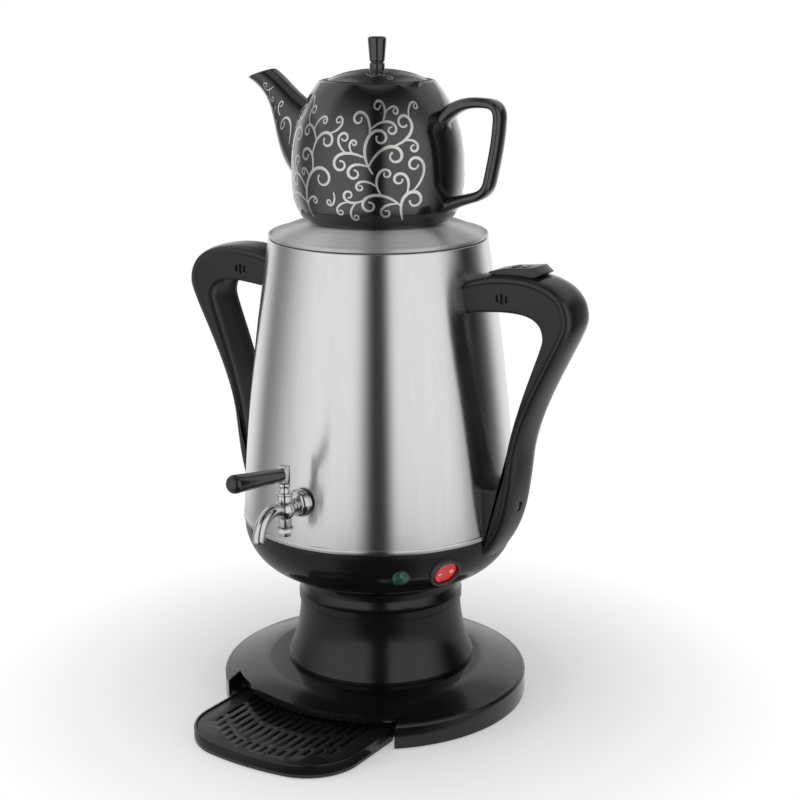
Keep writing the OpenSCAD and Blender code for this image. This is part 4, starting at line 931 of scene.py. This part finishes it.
def make_teapot():
    rim_z = POT_Z + POT_H
    seat_z = rim_z - 5
    foot_in = POT_FOOT_R - 5
    outside = [(pot_side_r(z), z) for z in (POT_Z + POT_H * i / 60 for i in range(61))]
    inside = [(pot_side_r(z) - 4, z) for z in (seat_z - (POT_H - 12) * i / 30 for i in range(1, 31))]
    rim = fillet([outside[-2], (POT_RIM_R - 0.5, rim_z + 0.5, 1.0), (POT_RIM_R - 2.6, rim_z + 1.2, 0.8),
                  (POT_MOUTH_R, rim_z + 1.2, 1.2), (POT_MOUTH_R, seat_z)])[1:]
    foot = fillet([(0, POT_Z + 1.6), (foot_in, POT_Z + 1.6), (foot_in, POT_Z, 0.8), (POT_FOOT_R, POT_Z, 0.8),
                   outside[1]])
    pot = revolve(foot + outside[2:-1] + rim + inside + [(0, POT_Z + 6)], "teapot_pot", sharp=50)
    reach = POT_MOUTH_R + 1
    scoop = along((0, 0, rim_z + SCOOP_R - 3), (cos(SCOOP_AZ), sin(SCOOP_AZ), 0))
    cut(pot, lathe(rod(SCOOP_R, reach, reach + 18), 192, scoop))
    piece(spout_data(), "teapot_spout", sharp=60)
    piece(ear_data(), "teapot_handle", sharp=60)

    skirt_out, skirt_in, skirt_z = POT_MOUTH_R - 1, POT_MOUTH_R - 5, -7
    lid = [(0, 0.6), (skirt_in, 0.6), (skirt_in, skirt_z), (skirt_out, skirt_z), (skirt_out, 0),
           (POT_LID_R - 0.2, 0, 0.3)]
    lid += [tuple(bezier(POT_LID_CURVE, i / 24)) for i in range(1, 25)] + [(0, POT_LID_RISE)]
    revolve(fillet(lid), "teapot_lid", place=shift(0, 0, POT_LID_Z), sharp=50)

    knob_z = POT_LID_Z + POT_LID_RISE
    h = high("teapot_knob").z - knob_z
    r = high("teapot_knob").x
    knob = fillet([(0, -0.2), (r - 1.2, -0.2, 0.3), (r - 1.2, h * 0.16, 0.3), (r - 1.9, h * 0.19, 0.3),
                   (r - 1.9, h * 0.23, 0.3), (r - 1.2, h * 0.26, 0.3), (r - 0.2, h * 0.8, 2), (r, h - 1, 0.9),
                   (r - 1.2, h, 0.9), (0, h)])
    revolve(knob, "teapot_knob", steps=96, place=shift(0, 0, knob_z))


# ---- silver scrollwork

SILVER_LIFT = 0.14
LID_LIFT = 0.12
LID_STRETCH = 2.2
SPOUT_LENGTH = 78


def stroke(start, heading, pieces, width):
    """Points (u, v, angle, width) of a pen stroke. Each piece is (length, first and last curvature)."""
    step = 0.6
    u, v = start
    angle = radians(heading)
    points = [(u, v, angle)]
    for length, k0, k1 in pieces:
        count = max(2, int(length / step))
        for i in range(count):
            k = k0 + (k1 - k0) * (i + 0.5) / count
            angle += k * length / count
            u += cos(angle) * length / count
            v += sin(angle) * length / count
            points.append((u, v, angle))
    last = len(points) - 1
    return [(*point, width * (0.35 + 0.65 * sin(pi * min(1.0, 0.08 + 0.84 * i / last))))
            for i, point in enumerate(points)]


def curl(start, heading, size, hand, width, lead):
    """A stem that winds up into an open spiral; size is its length scale and hand its turning sense."""
    k = hand / size
    stem = (26 * size * lead, 0.02 * k, 0.05 * k)
    spiral = (34 * size, 0.06 * k, 0.30 * k)
    return stroke(start, heading, [stem, spiral], width)


class Scrollwork:
    """Curls that branch off one another and fill a patch without touching."""

    GAP = 2.9

    def __init__(self, seed, allowed, weight=1.0):
        self.weight = weight
        self.random = random.Random(seed)
        self.allowed = allowed
        self.cells = {}
        self.strokes = []

    def cell(self, u, v):
        return int(u // self.GAP), int(v // self.GAP)

    def is_clear(self, points):
        for u, v, _, _ in points:
            if not self.allowed(u, v):
                return False
            i, j = self.cell(u, v)
            for near in ((a, b) for a in (i - 1, i, i + 1) for b in (j - 1, j, j + 1)):
                if any((pu - u) ** 2 + (pv - v) ** 2 < self.GAP ** 2 for pu, pv in self.cells.get(near, ())):
                    return False
        return True

    def sprout(self, start, heading, size, hand, root=8):
        """Adds a curl if all of it but its root has room."""
        lead = self.random.uniform(0.3, 1.3)
        points = curl(start, heading, size, hand, self.weight * (0.7 + 1.5 * min(1.0, size) ** 0.6), lead)
        if self.is_clear(points[root:]):
            self.strokes.append(points)
            for u, v, _, _ in points:
                self.cells.setdefault(self.cell(u, v), []).append((u, v))

    def branch(self, sizes, tries):
        """Adds curls that leave the ones there at a small angle."""
        for size in sizes:
            for _ in range(tries):
                parent = self.random.choice(self.strokes)
                u, v, angle, _ = parent[int(self.random.uniform(0.04, 0.6) * (len(parent) - 1))]
                hand = self.random.choice((-1, 1))
                heading = degrees(angle) + hand * self.random.uniform(18, 52)
                self.sprout((u, v), heading, size * self.random.uniform(0.85, 1.15), hand)

    def scatter(self, sizes, tries, box):
        """Adds separate curls where there is still room."""
        for size in sizes:
            for _ in range(tries):
                start = (self.random.uniform(box[0], box[1]), self.random.uniform(box[2], box[3]))
                self.sprout(start, self.random.uniform(0, 360), size, self.random.choice((-1, 1)), root=0)


def ribbon(points, place):
    """Flat strip with a round bead at its end, laid on a surface by place(u, v)."""
    verts = []
    faces = []
    for u, v, angle, width in points:
        nu, nv = -sin(angle) * width / 2, cos(angle) * width / 2
        verts += [place(u + nu, v + nv), place(u, v), place(u - nu, v - nv)]
    bead = len(verts)
    for a in range(0, bead - 3, 3):
        faces += [(a, a + 1, a + 4, a + 3), (a + 1, a + 2, a + 5, a + 4)]
    u, v, _, width = points[-1]
    verts += [place(u, v)] + [place(u + du, v + dv) for du, dv in circle(width * 0.75, 12)]
    faces += [(bead, bead + 1 + k, bead + 1 + (k + 1) % 12) for k in range(12)]
    return verts, faces


def around(r, azimuth, z):
    """Point at radius r and an azimuth in degrees."""
    a = radians(azimuth)
    return (r * sin(a), -r * cos(a), z)


def on_pot(u, v):
    """Surface point of the pot at azimuth u degrees and height v above its foot."""
    return around(pot_side_r(POT_Z + v) + SILVER_LIFT, u, POT_Z + v)


def on_lid(u, v):
    """Surface point of the teapot's lid at azimuth u, which is stretched, and radius v."""
    lo, hi = 0.0, 1.0
    for _ in range(18):
        mid = (lo + hi) / 2
        if bezier(POT_LID_CURVE, mid).x > v:
            lo = mid
        else:
            hi = mid
    return around(v, u * LID_STRETCH, POT_LID_Z + bezier(POT_LID_CURVE, lo).y + LID_LIFT)


def pot_pattern():
    """Scrollwork of its own layout on both sides of the pot, clear of the spout and the handle."""
    strokes = []
    for seed, first in ((5, -70), (11, 112)):
        work = Scrollwork(seed, lambda u, v, first=first: first < u < first + 136 and 5 < v < 89)
        for k, size, hand in ((0, 0.95, 1), (1, 1.1, -1), (2, 0.9, 1), (3, 1.05, -1)):
            u = first + 18 + 34 * k
            work.sprout((u, 8), 90 - 20 * hand, size, hand, root=0)
            work.sprout((u + 14, 40), 90 + 35 * hand, size * 0.9, -hand, root=0)
        work.branch((0.8, 0.65, 0.5, 0.4), 130)
        work.scatter((0.6, 0.45, 0.36), 30, (first, first + 136, 6, 86))
        strokes += work.strokes
    return strokes


def lid_pattern():
    """A ring of small curls on the teapot's lid."""
    work = Scrollwork(3, lambda u, v: 0 < u < 163 and 7 < v < 32)
    for k in range(8):
        work.sprout((4 + 20.4 * k, 19), 60 - 120 * (k % 2), 0.56, 1 if k % 2 else -1, root=0)
    work.branch((0.36, 0.28), 80)
    return work.strokes


def spout_pattern():
    """Small curls scattered along the side of the spout."""
    work = Scrollwork(8, lambda u, v: 2 < u < 74 and abs(v) < 8, weight=0.6)
    work.scatter((0.4, 0.34), 40, (6, 66, -6, 6))
    work.branch((0.26,), 40)
    return work.strokes


def on_spout(side):
    """Gives the place(u, v) of one side of the spout, with u from its tip and v across it."""
    return lambda u, v: spout_point(max(0.0, 1 - u / SPOUT_LENGTH), side * radians(90 + v * 5), -SILVER_LIFT)


def make_scrolls():
    for name, node, pattern, place in (("pot_scrolls", "teapot_pot", pot_pattern, on_pot),
                                       ("lid_scrolls", "teapot_lid", lid_pattern, on_lid),
                                       ("spout_scrolls_a", "teapot_spout", spout_pattern, on_spout(1)),
                                       ("spout_scrolls_b", "teapot_spout", spout_pattern, on_spout(-1))):
        piece(combine(*[ribbon(points, place) for points in pattern()]), node, name, material=SILVER,
              replace=False)


# ---- studio and camera, in metres

CAMERA_AZ = 33.2
CAMERA_TILT = 14.69
CAMERA_POS = (659.5, -1007.8, 536.0)
CAMERA_YAW = 0.717
CAMERA_ROLL = -0.1905
FOCAL_PX = 1702.5
IMAGE_PX = 800
SENSOR = 36
MIDDLE_Z = 0.22
LIGHT_R = 2.0
LIGHT_Z = 0.75
LIGHT_H = 2.6
DOME_LOW = -8
DOME_RADIUS = 1.3
DOME_Z = 0.2
CARD_Z = 0.003
CARD_RINGS = ((0.13, None), (0.38, None), (0.65, DOME_LOW))
FLOOR_R = 3
SHADOW_R = 0.13
FADE_R = 0.30
FADE_LEAST = 0.35
WORLD_FILL = 0.4


def make_camera():
    """The camera as it was solved from the reference: place, aim, roll and focal length."""
    camera = add_object("camera", bpy.data.cameras.new("camera"))
    camera.data.sensor_width = SENSOR
    camera.data.lens = FOCAL_PX / IMAGE_PX * SENSOR
    camera.data.clip_end = 20
    az = radians(CAMERA_AZ - CAMERA_YAW)
    tilt = radians(CAMERA_TILT)
    roll = radians(CAMERA_ROLL)
    forward = Vector((-sin(az) * cos(tilt), cos(az) * cos(tilt), -sin(tilt)))
    right = Vector((cos(az), sin(az), 0))
    up = right.cross(forward)
    tilted_right = right * cos(roll) + up * sin(roll)
    tilted_up = up * cos(roll) - right * sin(roll)
    turn = Matrix((tilted_right, tilted_up, -forward)).transposed().to_4x4()
    camera.matrix_world = Matrix.Translation(Vector(CAMERA_POS) * MM) @ turn
    bpy.context.scene.camera = camera


def sky_point(azimuth, radius, z):
    """Point round the object, at an azimuth counted from the camera's."""
    return Vector(around(radius, CAMERA_AZ + azimuth, z))


def softbox(name, azimuth, width, power):
    light = bpy.data.lights.new(name, "AREA")
    light.shape = "RECTANGLE"
    light.size = width
    light.size_y = LIGHT_H
    light.energy = power
    obj = add_object(name, light)
    obj.location = sky_point(azimuth, LIGHT_R, LIGHT_Z)
    obj.rotation_euler = (Vector((0, 0, MIDDLE_Z)) - obj.location).to_track_quat("-Z", "Y").to_euler()
    obj.visible_glossy = False


def ramp(x, start, end):
    """Smooth rise from 0 at start to 1 at end."""
    t = min(1.0, max(0.0, (x - start) / (end - start)))
    return t * t * (3 - 2 * t)


def studio_shade(azimuth, elevation):
    """Brightness of the dome in reflections, by azimuth from the camera's.

    In front stand two soft boxes with a dark gap between them. Behind are a pale wall with a white strip
    low down, cards at both sides and one overhead.
    """
    front = ramp(elevation, 70, 25)
    left = ramp(azimuth, -130, -55) * ramp(azimuth, -5, -22) * front
    right = ramp(azimuth, 3, 15) * ramp(azimuth, 95, 58) * front
    away = abs(azimuth)
    behind = (0.12 + 0.3 * ramp(elevation, 45, 25)) * ramp(away, 95, 145) * (1 - 0.7 * ramp(away, 172, 177))
    behind += 0.5 * ramp(elevation, 30, 22) * ramp(away, 120, 140) * ramp(away, 174, 168)
    strip = 0.9 * ramp(away, 105, 140) * ramp(elevation, 12, 3)
    sides = 0.55 * ramp(elevation, 22, 34) * ramp(elevation, 70, 60)
    sides *= ramp(away, 70, 100) * ramp(away, 172, 160)
    above = 0.45 * ramp(elevation, 66, 76)
    return 0.015 + left + right + max(behind, strip, sides, above)


def table_shade(azimuth):
    """Brightness of the table in reflections: dark in front of the samovar."""
    return 0.02 + 0.38 * max(ramp(azimuth, -18, -42), ramp(azimuth, 13, 38))


def reflector():
    """Studio dome and table cards that only reflections see: white boxes and black flags."""
    columns, rows = 180, 38
    rings = [(r, CARD_Z, e) for r, e in CARD_RINGS]
    for e in (DOME_LOW + (90 - DOME_LOW) * j / rows for j in range(rows + 1)):
        rings.append((DOME_RADIUS * cos(radians(e)), DOME_Z + DOME_RADIUS * sin(radians(e)), e))
    verts, shades = [], []
    for r, z, e in rings:
        for azimuth in (360 * i / columns - 180 for i in range(columns)):
            verts.append(sky_point(azimuth, r, z))
            shades.append(table_shade(azimuth) if e is None else studio_shade(azimuth, e))
    faces = [(j + i, j + (i + 1) % columns, j + columns + (i + 1) % columns, j + columns + i)
             for j in range(0, (len(rings) - 1) * columns, columns) for i in range(columns)]
    mesh = bpy.data.meshes.new("reflector")
    mesh.from_pydata(verts, [], faces)
    mesh.attributes.new("shade", "FLOAT", "POINT").data.foreach_set("value", shades)
    mat = bpy.data.materials.new("reflector")
    mat.use_nodes = True
    tree = Tree(mat.node_tree)
    tree.nodes.clear()
    shade = tree.add("ShaderNodeAttribute", attribute_name="shade")
    emission = tree.add("ShaderNodeEmission", {"Strength": shade.outputs["Fac"]})
    tree.add("ShaderNodeOutputMaterial", {0: emission.outputs[0]})
    mesh.materials.append(mat)
    obj = add_object("reflector", mesh)
    for ray in ("camera", "diffuse", "transmission", "shadow"):
        setattr(obj, "visible_" + ray, False)


def make_world():
    """White to the camera and in reflections, softer as a light."""
    world = bpy.data.worlds.new("studio")
    bpy.context.scene.world = world
    world.use_nodes = True
    world.cycles.sampling_method = "NONE"
    tree = Tree(world.node_tree)
    tree.nodes.clear()
    path = tree.add("ShaderNodeLightPath").outputs
    seen = tree.math("ADD", path["Is Camera Ray"], path["Is Glossy Ray"])
    seen = tree.math("ADD", seen, path["Is Transmission Ray"], use_clamp=True)
    fill, white = (tree.add("ShaderNodeBackground", {"Color": (1, 1, 1, 1), "Strength": strength}).outputs[0]
                   for strength in (WORLD_FILL, 1.0))
    mix = tree.add("ShaderNodeMixShader", {0: seen, 1: fill, 2: white})
    tree.add("ShaderNodeOutputWorld", {0: mix.outputs[0]})


def make_floor():
    """Pale floor that takes the object's shadow near it and fades to white further out."""
    z = low("rubber_feet").z * MM
    count = 96
    mesh = bpy.data.meshes.new("floor")
    mesh.from_pydata([(0, 0, z)] + level(circle(FLOOR_R, count), z), [],
                     [(0, 1 + k, 1 + (k + 1) % count) for k in range(count)])
    shader = Shader("floor", (0.93, 0.93, 0.93), 0.6)
    distance = shader.add("ShaderNodeVectorMath", {0: shader.coords}, operation="LENGTH").outputs["Value"]
    fade = shader.add("ShaderNodeMapRange", {"Value": distance, "From Min": SHADOW_R, "From Max": FADE_R,
                                             "To Min": FADE_LEAST}).outputs["Result"]
    white = shader.add("ShaderNodeEmission", {"Color": (1, 1, 1, 1)}).outputs[0]
    mix = shader.add("ShaderNodeMixShader", {0: fade, 1: shader.bsdf.outputs[0], 2: white})
    shader.links.new(mix.outputs[0], shader.nodes["Material Output"].inputs["Surface"])
    mesh.materials.append(shader.mat)
    floor = add_object("floor", mesh)


def make_studio():
    make_world()
    make_floor()
    softbox("key_left", -60, 3.0, 28)
    softbox("key_right", 34, 2.5, 24)
    reflector()
    bpy.context.scene.view_settings.view_transform = "Standard"


for make in (make_camera, make_studio, make_base, make_pedestal, make_bowl, make_tray, make_tank, make_lid,
             make_tap, make_switch, make_lamp, make_handles, make_slider, make_screws, make_teapot,
             make_scrolls):
    make()
